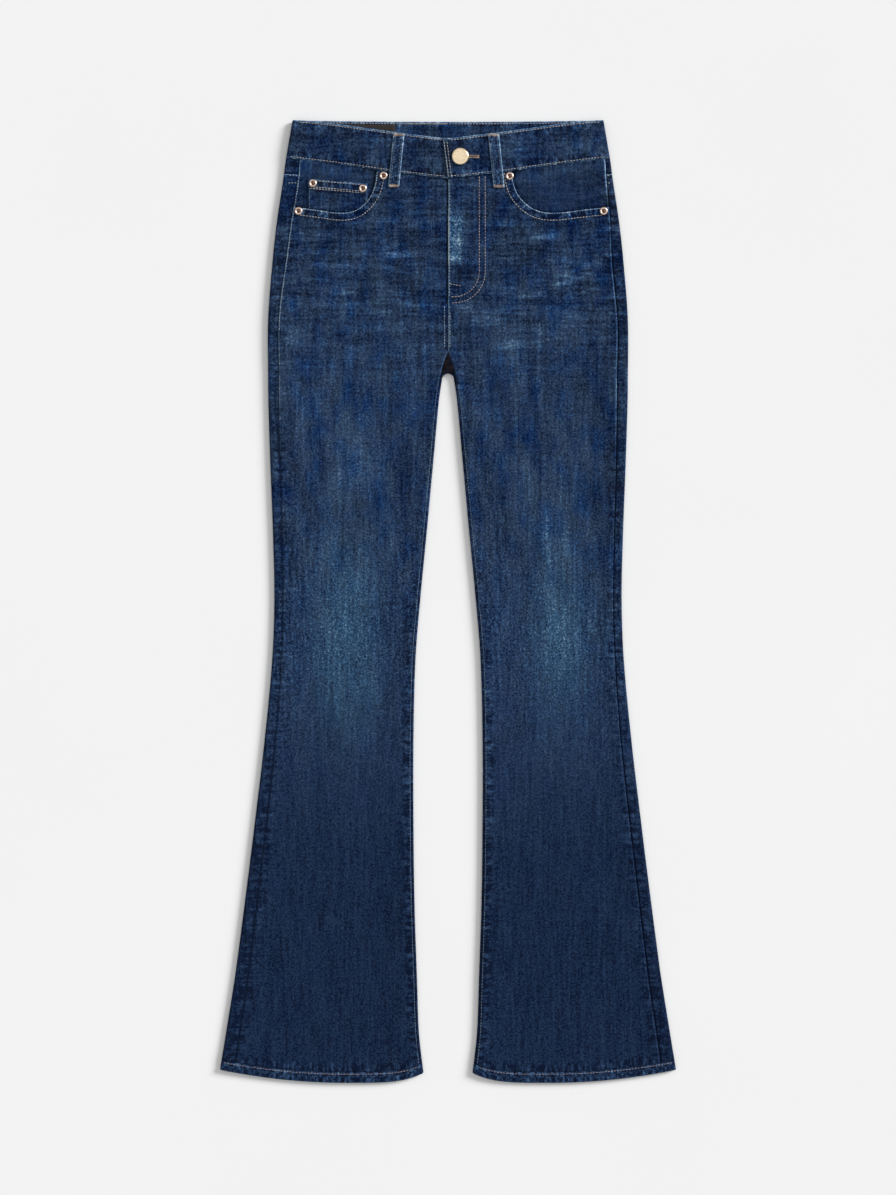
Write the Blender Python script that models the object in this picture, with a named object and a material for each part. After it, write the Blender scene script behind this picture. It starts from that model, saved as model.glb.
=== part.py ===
"""Women's flared five-pocket jeans in stretch denim, buttoned and laid flat on their back.

Metres, +Z up. +Y runs from the hems to the waist, +X to the wearer's left, and the origin is
under the middle of the garment on the surface that it lies on. Heights along the garment are
counted from the lowest point of the hems and are turned into Y at the very end.
"""

import math
from typing import NamedTuple

import bmesh
import bpy
from mathutils import Vector

LENGTH = 1.0590  # from the lowest point of the hems to the top of the back waistband
WALL = 0.0010  # one layer of denim
BAND_WALL = 0.0020  # waistband: two layers of denim and a stiffening
HEM_WALL = 0.0020  # turned hem
GAP = 0.0003  # between neighbouring pieces

LEFT = 1.0  # wearer's left, at +X
RIGHT = -1.0
SIDE_NAMES = ((RIGHT, "right"), (LEFT, "left"))

# How the layers are stacked
LEG_EDGE = 0.0050  # height of the rounded side folds of the legs
LEG_SAG = 0.0018  # the front lies this much lower between the folds of a leg
SAG_REACH = 0.045  # and comes down over this distance from a fold
LEG_TOP = 0.740  # the legs go over into the hips from here
LEG_TOP_REACH = 0.110
HIP_HEIGHT = 0.0054  # outer face of the fronts over the hips
BACK_LIFT = 0.0013  # the seat lies on its patch pockets and belt loops
BACK_LIFT_START = 0.770
BACK_LIFT_REACH = 0.040
WAIST_RISE = 0.0006  # fronts rise to the waistband seam
WAIST_RISE_REACH = 0.025
HEM_RISE = 0.0008
HEM_RISE_REACH = 0.040
HEM_SAG = 0.0006  # of the hem's front between its folds

# Heights along the garment
HEM_DEPTH = 0.0115
HEM_LOWEST = 0.62  # share of the way from the outer to the inner fold where the hem is lowest
HEM_OUTER_LIFT = 0.0145  # how much higher the hem is at the outer fold
HEM_INNER_LIFT = 0.0110
HEM_CURVE_REACH = 0.12  # rows of the leg bend with the hem up to this height
CROTCH_FRONT = 0.8041  # where the four inner seams meet
CROTCH_FOLD = 0.7805  # lowest point of the back rise, folded over between the legs
CROTCH_RADIUS = 0.0066  # of the rounded notch between the legs
NOTCH_START = CROTCH_FOLD - CROTCH_RADIUS
YOKE_SIDE = 1.0000
YOKE_CENTRE = 0.9600
BACK_WAIST_CENTRE = 1.0150
SIDE_WAIST = 1.0175
FLY_END = 0.862
FLY_WIDTH = 0.0405
FLY_ROUNDING = 0.034
FLY_RISE = 0.0010  # the left front is raised by the zip and shield under it
FLY_EASE = 0.004  # and comes down over this distance across the curved stitching

INSEAM_INSET = 0.0027  # inseam's distance in from the inner fold
INSEAM_HALF_GAP = 0.57 * GAP  # a little over half, because the inseam slants
POCKET_HEM = 0.0090  # turned edge of a front pocket opening
POCKET_HEM_RISE = 0.0006
POCKET_HEM_EASE = 0.002  # the turned edge comes down over this distance
FRONT_RISE = 0.832  # end at the centre front of the last row below those that bend to the pocket
FRONT_WIDTH = 0.180
TORSO_START = 0.850  # turned pocket edges and the fly are above it


class Outline(NamedTuple):
    """Half widths of the laid garment at one height, from the centre line."""

    height: float
    outer: float
    inner: float
    seam_inset: float


OUTLINE = (
    Outline(height=0.0000, outer=0.2510, inner=0.0270, seam_inset=0.0155),
    Outline(height=0.0473, outer=0.2442, inner=0.0319, seam_inset=0.0150),
    Outline(height=0.1133, outer=0.2349, inner=0.0341, seam_inset=0.0145),
    Outline(height=0.2013, outer=0.2233, inner=0.0369, seam_inset=0.0135),
    Outline(height=0.2893, outer=0.2123, inner=0.0380, seam_inset=0.0130),
    Outline(height=0.3773, outer=0.2019, inner=0.0380, seam_inset=0.0120),
    Outline(height=0.4653, outer=0.1936, inner=0.0358, seam_inset=0.0100),
    Outline(height=0.5313, outer=0.1912, inner=0.0306, seam_inset=0.0095),
    Outline(height=0.5973, outer=0.1925, inner=0.0242, seam_inset=0.0100),
    Outline(height=0.6853, outer=0.1958, inner=0.0160, seam_inset=0.0110),
    Outline(height=0.7513, outer=0.1978, inner=0.0099, seam_inset=0.0120),
    Outline(height=0.7740, outer=0.1980, inner=0.0066, seam_inset=0.0122),
    Outline(height=0.8393, outer=0.1980, inner=0.0000, seam_inset=0.0118),
    Outline(height=0.9053, outer=0.1930, inner=0.0000, seam_inset=0.0138),
    Outline(height=0.9493, outer=0.1881, inner=0.0000, seam_inset=0.0128),
    Outline(height=0.9933, outer=0.1815, inner=0.0000, seam_inset=0.0118),
    Outline(height=1.0175, outer=0.1782, inner=0.0000, seam_inset=0.0104),
    Outline(height=1.0373, outer=0.1746, inner=0.0000, seam_inset=0.0100),
    Outline(height=1.0590, outer=0.1711, inner=0.0000, seam_inset=0.0100),
)


class SoftFold(NamedTuple):
    """A long shallow ridge (rise above 0) or trough across the fronts, running up the garment."""

    x: float
    height: float
    length: float
    width: float
    rise: float
    lean: float = 0.0
    bow: float = 0.0


SOFT_FOLDS = (
    SoftFold(x=0.107, height=0.705, length=0.330, width=0.009, rise=0.0006, lean=0.004),
    SoftFold(x=0.088, height=0.640, length=0.420, width=0.020, rise=-0.0004, lean=0.006),
    SoftFold(x=0.125, height=0.330, length=0.500, width=0.026, rise=0.0006, lean=-0.020, bow=0.006),
    SoftFold(x=0.165, height=0.210, length=0.380, width=0.020, rise=0.0004, lean=-0.026),
    SoftFold(x=-0.100, height=0.560, length=0.460, width=0.018, rise=0.0005, lean=-0.006),
    SoftFold(x=-0.118, height=0.300, length=0.460, width=0.028, rise=0.0006, lean=0.018, bow=-0.004),
    SoftFold(x=-0.170, height=0.190, length=0.340, width=0.018, rise=0.0004, lean=0.024),
    SoftFold(x=-0.075, height=0.180, length=0.300, width=0.020, rise=-0.0003, lean=0.004),
)
# The right outseam lies a little further round to the front than the left one
SEAM_SWING = 0.0048
SEAM_SWING_START = 0.860
SEAM_SWING_REACH = 0.155

# Lower and upper edge of the waistband across the front: (distance from the centre, height)
BAND_LOWER = ((0.000, 0.9950), (0.050, 1.0005), (0.120, 1.0103), (0.1782, 1.0175))
BAND_UPPER = ((0.000, 1.0385), (0.060, 1.0460), (0.110, 1.0530), (0.150, 1.0578), (0.1711, 1.0590))
BAND_BACK_DIP = 0.0015  # the back's upper edge hangs a little between the sides

# Front pocket opening: (share of the way from its waist end to the outseam, height)
POCKET_EDGE = (
    (0.000, 1.0020),
    (0.015, 0.9910),
    (0.065, 0.9772),
    (0.185, 0.9640),
    (0.320, 0.9580),
    (0.500, 0.9574),
    (0.720, 0.9602),
    (1.000, 0.9635),
)
POCKET_WAIST_END = {RIGHT: 0.0784, LEFT: 0.0700}  # distance from the centre line
FACING_LOW = 0.948
FACING_INSET = 0.010  # how far the facing goes on under the front past the opening's waist end
FACING_RISE_REACH = 0.022  # the facing comes up level with the front over this distance
COIN_POCKET_OUTER = (0.1538, 0.9944)  # upper corners: distance from the centre line, height
COIN_POCKET_INNER = (0.0885, 0.9889)
COIN_POCKET_LOW_GAP = 0.0006
COIN_POCKET_EASE = 0.0002  # more than the gap, because the facing is curved

# Waistband heights above the surface, outer face
BAND_FRONT_FACE = 0.0069
BAND_UNDER_FACE = 0.0062  # right end, under the overlap
BAND_OVER_FACE = 0.0085  # left end, over it
UNDERLAP_END = 0.040
OVERLAP_TOP_END = -0.0057
OVERLAP_LOW_END = 0.0000
OVER_FLAT = 0.044  # the left end is flat to here and comes down by OVER_SLOPED
OVER_SLOPED = 0.068
UNDER_FLAT = 0.012
UNDER_SLOPED = 0.036

BUTTON_AT = (0.0134, 1.0186)
BUTTON_RADIUS = 0.0093
BUTTON_THICK = 0.0030
SHANK_RADIUS = 0.0023
BUTTONHOLE_EYE = 0.0029
BUTTONHOLE_END = 0.0325
BUTTONHOLE_WIDTH = 0.0012

LOOP_WIDTH = 0.0122
LOOP_WALL = 0.0011
LOOP_BELOW = 0.0160  # how far a belt loop reaches below the waistband seam
# Front belt loops: distance of the middle from the centre line at the upper and lower end
FRONT_LOOPS = {RIGHT: (0.0539, 0.0598), LEFT: (0.0500, 0.0562)}
BACK_LOOPS = (("centre", 0.0), ("right", -0.098), ("left", 0.098))

RIVET_RADIUS = 0.0047
RIVET_THICK = 0.0013
RIVET_EASE = 0.0001
WAIST_RIVET_X = {RIGHT: 0.0710, LEFT: 0.0678}
WAIST_RIVET_DROP = 0.0055  # below the waistband seam
SIDE_RIVET_HEIGHT = 0.9590
SIDE_RIVET_INSET = 0.0062  # in from the outseam
COIN_RIVET_INSET = 0.0052  # in from the coin pocket's side and down from its corner
COIN_RIVET_DROP = 0.0050

# Back pockets: distances from the centre line and heights
BACK_POCKET_MIDDLE = 0.104
BACK_POCKET_TOP = 0.946
BACK_POCKET_HALF = 0.060
BACK_POCKET_LOW_HALF = 0.051
BACK_POCKET_DEPTH = 0.118
BACK_POCKET_POINT = 0.016

# Under the fly and in the waistband: ends across and along, and the height of the upper face
SHIELD_ENDS = (-0.012, 0.046)
SHIELD_TOP = 0.0036
FLY_PIECES_TOP = 0.990
ZIP_ENDS = (0.004, 0.033)
ZIP_CHAIN_LOW = (0.0160, 0.0210)  # foot of the row of teeth
ZIP_CHAIN_HIGH = (0.0166, 0.0204)
ZIP_TAPE_TOP = 0.0046
ZIP_CHAIN_TOP = 0.0050
ZIP_WALL = 0.0007
LABEL_ENDS = (-0.145, -0.058)
LABEL_HEIGHTS = (1.0215, 1.0545)
LABEL_WALL = 0.0009

DENIM = (0.030, 0.070, 0.180)
DENIM_WORN = (0.045, 0.100, 0.230)
DENIM_INSIDE = (0.025, 0.050, 0.120)

# How finely the pieces are divided
FOLD_ANGLES = (-90, -45, 0, 45, 90)
INNER_FOLD_ANGLES = (-90, -45, 0, 45, 75)  # the inseam lies where the round of the fold ends
NOTCH_ANGLES = (30, 60, 90)
UNDERSIDE_COLUMNS = 7
POCKET_COLUMNS = 10
POCKET_END_COLUMN = 0.062
WAIST_COLUMNS = (0.050, 0.0425, 0.0385, 0.020, 0.006)  # distances of the inner columns


def smooth(share):
    """0 below 0, 1 above 1, and an even rise between."""
    share = min(max(share, 0.0), 1.0)
    return share * share * (3 - 2 * share)


def mix(a, b, share):
    return a + (b - a) * share


def spread(low, high, count):
    """count + 1 even steps from low to high."""
    return [mix(low, high, i / count) for i in range(count + 1)]


def through(knots, at):
    """Value at a place on a smooth curve through (place, value) knots, held past its ends."""
    if at <= knots[0][0]:
        return knots[0][1]
    if at >= knots[-1][0]:
        return knots[-1][1]
    last = len(knots) - 1
    i = max(k for k in range(last) if knots[k][0] <= at)

    def slope(k):
        before, after = max(k - 1, 0), min(k + 1, last)
        return (knots[after][1] - knots[before][1]) / (knots[after][0] - knots[before][0])

    (x0, y0), (x1, y1) = knots[i], knots[i + 1]
    width = x1 - x0
    t = (at - x0) / width
    rise_in = slope(i) * width
    rise_out = slope(i + 1) * width
    return (
        y0 * (2 * t**3 - 3 * t**2 + 1)
        + rise_in * (t**3 - 2 * t**2 + t)
        + y1 * (3 * t**2 - 2 * t**3)
        + rise_out * (t**3 - t**2)
    )


OUTER_KNOTS = [(row.height, row.outer) for row in OUTLINE]
INNER_KNOTS = [(row.height, row.inner) for row in OUTLINE if row.inner > 0]
INSET_KNOTS = [(row.height, row.seam_inset) for row in OUTLINE]

# Heights of the rows that the front and the back share along their seams
LEG_ROWS = spread(HEM_DEPTH + GAP, NOTCH_START, 20)
OUTSEAM_FAN = (0.781, 0.792, 0.808)
INSEAM_FAN = spread(NOTCH_START, CROTCH_FRONT, 3)[1:]
SEAT_ROWS = spread(OUTSEAM_FAN[-1], YOKE_SIDE - GAP, 7)[1:]
YOKE_ROWS = spread(YOKE_SIDE + GAP, SIDE_WAIST - GAP, 3)
OUTSEAM_ROWS = [0.0, *LEG_ROWS, *OUTSEAM_FAN, *SEAT_ROWS, *YOKE_ROWS, LENGTH]
INSEAM_ROWS = [0.0, *LEG_ROWS, *INSEAM_FAN]


def outer_fold(height):
    return through(OUTER_KNOTS, height)


def inner_fold(height):
    return through(INNER_KNOTS, height)


def along_rows(curve, rows, height):
    """Value of a curve at a height, straight between the rows, so that seams meet all along."""
    if height >= rows[-1]:
        return curve(rows[-1])
    i = max(k for k in range(len(rows) - 1) if rows[k] <= height + 1e-9)
    share = (height - rows[i]) / (rows[i + 1] - rows[i])
    return mix(curve(rows[i]), curve(rows[i + 1]), share)


def outseam(height, side):
    """Distance of the outseam from the centre line."""

    def curve(at):
        swing = side * SEAM_SWING * smooth((at - SEAM_SWING_START) / SEAM_SWING_REACH)
        return outer_fold(at) - through(INSET_KNOTS, at) + swing

    return along_rows(curve, OUTSEAM_ROWS, height)


def inseam(height):
    """Distance of the inseam from the centre line, falling to 0 at the crotch point."""

    def curve(at):
        if at <= NOTCH_START:
            return inner_fold(at) + INSEAM_INSET
        share = min((at - NOTCH_START) / (CROTCH_FRONT - NOTCH_START), 1.0)
        return (CROTCH_RADIUS + INSEAM_INSET) * (1 - share) * (1 + 0.4 * share)

    return along_rows(curve, INSEAM_ROWS, height)


def front_edge(height):
    """Inner edge of a front panel: along the inseam, and above it the centre front."""
    return max(inseam(height) + INSEAM_HALF_GAP, GAP / 2)


def hem_curve(across):
    """How much higher than its lowest point the hem is, from the outer (0) to the inner fold (1)."""
    if across < HEM_LOWEST:
        return HEM_OUTER_LIFT * ((HEM_LOWEST - across) / HEM_LOWEST) ** 2
    return HEM_INNER_LIFT * ((across - HEM_LOWEST) / (1 - HEM_LOWEST)) ** 4


def with_hem_curve(x, height):
    """The row's height at x, bent with the hem near the bottom of the leg."""
    share = max(1 - height / HEM_CURVE_REACH, 0.0)
    if share == 0.0:
        return height
    low, high = inner_fold(height), outer_fold(height)
    across = min(max((high - x) / (high - low), 0.0), 1.0)
    return height + hem_curve(across) * share


def pocket_edge_point(share, side):
    """Point (distance from the centre line, height) of the pocket opening."""
    waist_end = POCKET_WAIST_END[side]
    seam_end = outseam(POCKET_EDGE[-1][1], side) - GAP / 2
    return Vector((mix(waist_end, seam_end, share), through(POCKET_EDGE, share)))


def even_points(points, count):
    """count + 1 points spaced evenly along a polyline."""
    lengths = [0.0]
    for a, b in zip(points, points[1:]):
        lengths.append(lengths[-1] + (b - a).length)
    found = []
    for target in spread(0.0, lengths[-1], count):
        i = max(k for k in range(len(points) - 1) if lengths[k] <= target + 1e-12)
        share = (target - lengths[i]) / (lengths[i + 1] - lengths[i])
        found.append(points[i].lerp(points[i + 1], min(share, 1.0)))
    return found


POCKET_LINES = {
    side: [pocket_edge_point((i / 80) ** 2, side) for i in range(81)] for side in (RIGHT, LEFT)
}


def above_pocket_edge(x, height, side):
    """Distance of a point from the pocket edge: above it in the opening, below 0 under the front."""
    here = Vector((x, height))
    line = POCKET_LINES[side]
    nearest = min((here - point).length for point in line)
    share = (x - line[0].x) / (line[-1].x - line[0].x)
    inside = share > 0 and height > through(POCKET_EDGE, min(share, 1.0))
    return nearest if inside else -nearest


def inside_fly(x, height):
    """Distance inside the curved line of stitching that holds the fly, below 0 outside it."""
    centre = Vector((FLY_WIDTH - FLY_ROUNDING, FLY_END + FLY_ROUNDING))
    if height > centre.y or x < centre.x:
        return min(FLY_WIDTH - x, height - FLY_END)
    return FLY_ROUNDING - (Vector((x, height)) - centre).length


def soft_folds(x, height):
    """Rise and fall of the long soft folds at a point of the fronts, x signed."""
    level = 0.0
    for fold_line in SOFT_FOLDS:
        reach = (height - fold_line.height) / (fold_line.length / 2)
        if abs(reach) < 1:
            middle = fold_line.x + fold_line.lean * reach + fold_line.bow * reach * reach
            away = (x - middle) / fold_line.width
            level += fold_line.rise * (1 - reach * reach) ** 2 * math.exp(-away * away)
    return level


def plain_front(x, height):
    """Height of the fronts' outer face above the surface, without turned edges."""
    leg = 1 - smooth((height - LEG_TOP) / LEG_TOP_REACH)
    from_fold = min(outer_fold(height) - x, x - inner_fold(height))
    level = mix(HIP_HEIGHT, LEG_EDGE, leg)
    level -= LEG_SAG * leg * smooth(from_fold / SAG_REACH)
    seam = through(BAND_LOWER, x)
    level += WAIST_RISE * smooth(1 + (height - seam) / WAIST_RISE_REACH)
    return level + HEM_RISE * (1 - smooth(height / HEM_RISE_REACH))


def front_face(x, height, side):
    """Height of a front panel's outer face, with its pocket edge and fly raised."""
    level = plain_front(x, height) + soft_folds(side * x, height)
    if height > TORSO_START:
        depth = -above_pocket_edge(x, height, side)
        if depth > -GAP:
            level += POCKET_HEM_RISE * (1 - smooth((depth - POCKET_HEM) / POCKET_HEM_EASE))
    if side == LEFT and height > FLY_END - FLY_EASE:
        level += FLY_RISE * smooth(inside_fly(x, height) / FLY_EASE + 0.5)
    return level


def seat_face(height):
    """Height of the back's outer face: on the surface at the legs, lifted under the seat."""
    return BACK_LIFT * smooth((height - BACK_LIFT_START) / BACK_LIFT_REACH)


def facing_face(x, height, side):
    """Height of the pocket facing: level with the front, and dipping under the pocket edge."""
    above = above_pocket_edge(x, height, side)
    sunk = 1 - smooth(above / FACING_RISE_REACH)
    return plain_front(x, height) - (WALL + 2 * GAP) * sunk


def band_face(x, side):
    """Height of the waistband's outer face on one side of the front."""
    if side == LEFT:
        share = smooth((OVER_SLOPED - x) / (OVER_SLOPED - OVER_FLAT))
        return mix(BAND_FRONT_FACE, BAND_OVER_FACE, share)
    share = smooth((UNDER_SLOPED - x) / (UNDER_SLOPED - UNDER_FLAT))
    return mix(BAND_FRONT_FACE, BAND_UNDER_FACE, share)


def material(name, colour, roughness=0.9, metallic=0.0):
    """A Principled material, made once for each name."""
    found = bpy.data.materials.get(name)
    if found:
        return found
    made = bpy.data.materials.new(name)
    made.use_nodes = True
    shader = made.node_tree.nodes["Principled BSDF"]
    shader.inputs["Base Color"].default_value = (*colour, 1.0)
    shader.inputs["Roughness"].default_value = roughness
    shader.inputs["Metallic"].default_value = metallic
    return made


def add_object(name, mesh, finish):
    obj = bpy.data.objects.new(name, mesh)
    obj.data.materials.append(finish)
    bpy.context.scene.collection.objects.link(obj)
    return obj


def placed(x, height, z, side=LEFT):
    """A point of the garment in the part's frame."""
    return Vector((side * x, height - LENGTH / 2, z))


def sheet(name, rows, thickness, finish, closed=False, face_up=True):
    """A cloth wall whose outer face has these rows of points. A missing point is None.

    The rows run up the garment. face_up says which way the outer face looks where the points
    of a row run towards +X. A closed sheet joins its last column to its first.
    """
    across, along = len(rows[0]) - 1, len(rows) - 1
    bm = bmesh.new()
    bmesh.ops.create_grid(bm, x_segments=across, y_segments=along, size=1.0)
    unused = []
    for vert in bm.verts:
        i = round((vert.co.x + 1) / 2 * across)
        j = round((vert.co.y + 1) / 2 * along)
        point = rows[j][i]
        if point is None:
            unused.append(vert)
        else:
            vert.co = point
    bmesh.ops.delete(bm, geom=unused, context="VERTS")
    if closed:
        bmesh.ops.remove_doubles(bm, verts=bm.verts[:], dist=1e-6)
    if not face_up:
        bmesh.ops.reverse_faces(bm, faces=bm.faces[:])
    bmesh.ops.triangulate(bm, faces=bm.faces[:])
    mesh = bpy.data.meshes.new(name)
    bm.to_mesh(mesh)
    bm.free()
    mesh.shade_smooth()
    obj = add_object(name, mesh, finish)
    wall = obj.modifiers.new("wall", "SOLIDIFY")
    wall.thickness = thickness
    wall.offset = -1.0
    wall.use_even_offset = True
    return obj


def lathe(name, profile, centre, height, base, finish, steps=16):
    """A turned piece with its axis upright, from (radius, height) points down its outer side."""
    bm = bmesh.new()
    verts = [bm.verts.new((radius, 0.0, z)) for radius, z in profile]
    edges = [bm.edges.new(pair) for pair in zip(verts, verts[1:])]
    bmesh.ops.spin(
        bm,
        geom=verts + edges,
        cent=(0, 0, 0),
        axis=(0, 0, 1),
        angle=math.tau,
        steps=steps,
        use_merge=True,
    )
    bmesh.ops.remove_doubles(bm, verts=bm.verts[:], dist=1e-6)
    bmesh.ops.recalc_face_normals(bm, faces=bm.faces[:])
    mesh = bpy.data.meshes.new(name)
    bm.to_mesh(mesh)
    bm.free()
    mesh.shade_smooth()
    mesh.set_sharp_from_angle(angle=math.radians(40))
    obj = add_object(name, mesh, finish)
    obj.location = placed(centre, height, base)
    return obj


def fold(edge, inward, low, high, angles):
    """Points round a fold from its lower to its upper face.

    edge is the outermost point (distance from centre, height), inward points into the cloth,
    and low and high are the outer faces' heights there.
    """
    radius = (high - low) / 2
    middle = edge + inward * radius
    points = []
    for degrees in angles:
        turn = math.radians(degrees)
        flat = middle - inward * radius * math.cos(turn)
        points.append((flat.x, flat.y, low + radius + radius * math.sin(turn)))
    return points


def outer_wrap(height, side, front_height=None):
    """Columns of a back piece from the outseam, round the outer fold, to its lower face."""
    top_height = height if front_height is None else front_height
    seam = outseam(height, side) + GAP / 2
    x_fold = outer_fold(height)
    edge = Vector((x_fold, height))
    low = seat_face(height)
    high = plain_front(x_fold, height)
    round_fold = fold(edge, Vector((-1.0, 0.0)), low, high, FOLD_ANGLES)[::-1]
    points = [(seam, top_height, plain_front(seam, top_height)), *round_fold]
    return [(x, with_hem_curve(x, h), z) for x, h, z in points]


def crotch_row(turn, seam_height):
    """Inner end of a back panel's row where the rows fan out round the notch between the legs."""
    inward = Vector((math.cos(math.radians(turn)), math.sin(math.radians(turn))))
    edge = Vector((0.0, NOTCH_START)) + inward * CROTCH_RADIUS
    return edge, inward, seam_height


def inner_wrap(edge, inward, seam_height):
    """Columns of a back panel from its lower face, round the inner fold, to the inseam."""
    low = seat_face(edge.y)
    high = plain_front(inner_fold(seam_height) + LEG_EDGE, seam_height)
    points = fold(edge, inward, low, high, INNER_FOLD_ANGLES)
    seam = max(inseam(seam_height) - INSEAM_HALF_GAP, GAP / 2)
    points.append((seam, seam_height, plain_front(seam, seam_height)))
    return [(max(x, GAP / 2), with_hem_curve(x, h), z) for x, h, z in points]


def underside(start, end):
    """Points of the lower face strictly between its two ends."""
    points = []
    for share in spread(0.0, 1.0, UNDERSIDE_COLUMNS)[1:-1]:
        x, height = mix(start[0], end[0], share), mix(start[1], end[1], share)
        points.append((x, height, seat_face(height)))
    return points


def back_panel(side, name):
    """Back leg and seat: from the outseam round both folds to the inseam and the seat seam."""
    rows = []
    for height in LEG_ROWS:
        start = outer_wrap(height, side)
        edge = Vector((inner_fold(height), height))
        end = inner_wrap(edge, Vector((1.0, 0.0)), height)
        rows.append([*start, *underside_of_leg(start[-1], end[0], height), *end])
    for turn, height, seam_height in zip(NOTCH_ANGLES, OUTSEAM_FAN, INSEAM_FAN):
        start = outer_wrap(height, side)
        end = inner_wrap(*crotch_row(turn, seam_height))
        rows.append([*start, *underside(start[-1], end[0]), *end])
    centre_start = rows[-1][-len(INNER_FOLD_ANGLES) - 1][1]
    seat_centre = spread(centre_start, YOKE_CENTRE - GAP, len(SEAT_ROWS))[1:]
    for height, centre in zip(SEAT_ROWS, seat_centre):
        start = outer_wrap(height, side)
        end = (GAP / 2, centre, seat_face(centre))
        missing = [None] * len(INNER_FOLD_ANGLES)
        rows.append([*start, *underside(start[-1], end), end, *missing])
    return build_sheet(name, rows, WALL, side, looks_up=False)


def underside_of_leg(start, end, height):
    """Lower face of the leg between the folds, bent with the hem."""
    points = []
    for share in spread(0.0, 1.0, UNDERSIDE_COLUMNS)[1:-1]:
        x = mix(start[0], end[0], share)
        points.append((x, with_hem_curve(x, height), seat_face(height)))
    return points


def build_sheet(name, rows, thickness, side, looks_up, colour=DENIM, closed=False):
    """Places the rows of one side and makes the wall. Rows run from the outer to the inner side."""
    points = [[p and placed(*p, side) for p in row] for row in rows]
    finish = material(name.split("_")[0] + "_denim", colour)
    face_up = looks_up == (side == RIGHT)
    return sheet(name, points, thickness, finish, closed=closed, face_up=face_up)


def yoke(side, name):
    """Back yoke, between the seat and the waistband, reaching round the side to the outseam."""
    rows = []
    for height in YOKE_ROWS:
        share = (height - YOKE_ROWS[0]) / (YOKE_ROWS[-1] - YOKE_ROWS[0])
        seam = outseam(height, side)
        front_top = mix(YOKE_ROWS[0], through(BAND_LOWER, seam) - GAP, share)
        start = outer_wrap(height, side, front_top)
        centre = mix(YOKE_CENTRE + GAP, BACK_WAIST_CENTRE - GAP, share)
        end = (GAP / 2, centre, seat_face(centre))
        rows.append([*start, *underside(start[-1], end), end])
    return build_sheet(name, rows, WALL, side, looks_up=False)


def front_top_boundary(side):
    """Pocket edge from the outseam to the waist, then the waistband seam to the centre front."""
    pocket = even_points(POCKET_LINES[side][::-1], POCKET_COLUMNS)
    start = pocket[-1]
    start.y = through(BAND_LOWER, start.x) - GAP
    waist = [Vector((x, through(BAND_LOWER, x) - GAP)) for x in (*WAIST_COLUMNS, GAP / 2)]
    return pocket + waist


# Which way the boundary's corner and its waist part move into the panel, for each unit of depth
CORNER_MOVE = Vector((-1.27, -0.91))
WAIST_MOVE = Vector((0.0, -0.6))


def inner_of(boundary, side, depth):
    """The boundary moved into the front panel, so that a row of points runs along a turned edge."""
    moved = []
    for i, point in enumerate(boundary):
        if i == 0:
            height = point.y - depth
            moved.append(Vector((outseam(height, side) - GAP / 2, height)))
        elif i > POCKET_COLUMNS:
            moved.append(point + depth * WAIST_MOVE)
        elif i == POCKET_COLUMNS:
            moved.append(point + depth * CORNER_MOVE)
        else:
            along = (boundary[i + 1] - boundary[i - 1]).normalized()
            moved.append(point + depth * Vector((-along.y, along.x)))
    return moved


def across_front(seam, edge):
    """Places of a row's columns, from the outseam to the inner edge."""
    inner = [edge + (seam - edge) * x / FRONT_WIDTH for x in (*WAIST_COLUMNS, 0.0)]
    middle = edge + (seam - edge) * POCKET_END_COLUMN / FRONT_WIDTH
    return spread(seam, middle, POCKET_COLUMNS) + inner


def front_panel(side, name):
    """Front leg and hip, cut away at the pocket opening."""
    top = front_top_boundary(side)
    last = len(top) - 1
    outer_rows = [*LEG_ROWS, *OUTSEAM_FAN, *SEAT_ROWS[:1]]
    inner_rows = [*LEG_ROWS, *INSEAM_FAN, FRONT_RISE]
    rows = []
    for outer_height, inner_height in zip(outer_rows, inner_rows):
        seam, edge = outseam(outer_height, side) - GAP / 2, front_edge(inner_height)
        row = []
        for x in across_front(seam, edge):
            height = mix(inner_height, outer_height, (x - edge) / (seam - edge))
            row.append(Vector((x, with_hem_curve(x, height))))
        rows.append(row)
    turned = [inner_of(top, side, depth) for depth in (POCKET_HEM + POCKET_HEM_EASE, POCKET_HEM)]
    base, goal = rows[-1], turned[0]
    low, high = base[0].y, goal[0].y
    corners = [low, *(height for height in SEAT_ROWS if low < height < high - 0.005), high]
    between = [h for a, b in zip(corners, corners[1:]) for h in ((a + b) / 2, b)]
    for seam_height in between[:-1]:
        rise = (seam_height - low) / (high - low)
        bend = outseam(seam_height, side) - GAP / 2 - mix(base[0].x, goal[0].x, rise)
        rows.append([
            base[i].lerp(goal[i], rise) + Vector((bend * (1 - i / last), 0.0))
            for i in range(last + 1)
        ])
    rows += [*turned, top]
    points = [[(p.x, p.y, front_face(p.x, p.y, side)) for p in row] for row in rows]
    return build_sheet(name, points, WALL, side, looks_up=True)


def pocket_facing(side, name):
    """Denim that shows in the pocket opening, under the front's edge and up to the waistband."""
    inner_end = POCKET_WAIST_END[side] - FACING_INSET
    seam_top = through(BAND_LOWER, outseam(SIDE_WAIST, side)) - GAP
    rows = []
    for share in spread(0.0, 1.0, 6):
        row = []
        for across in spread(0.0, 1.0, 8):
            seam_height = mix(FACING_LOW, seam_top, share)
            x = mix(outseam(seam_height, side) - GAP / 2, inner_end, across)
            height = mix(FACING_LOW, through(BAND_LOWER, x) - GAP, share)
            row.append((x, height, facing_face(x, height, side)))
        rows.append(row)
    return build_sheet(name, rows, WALL, side, looks_up=True)


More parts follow.
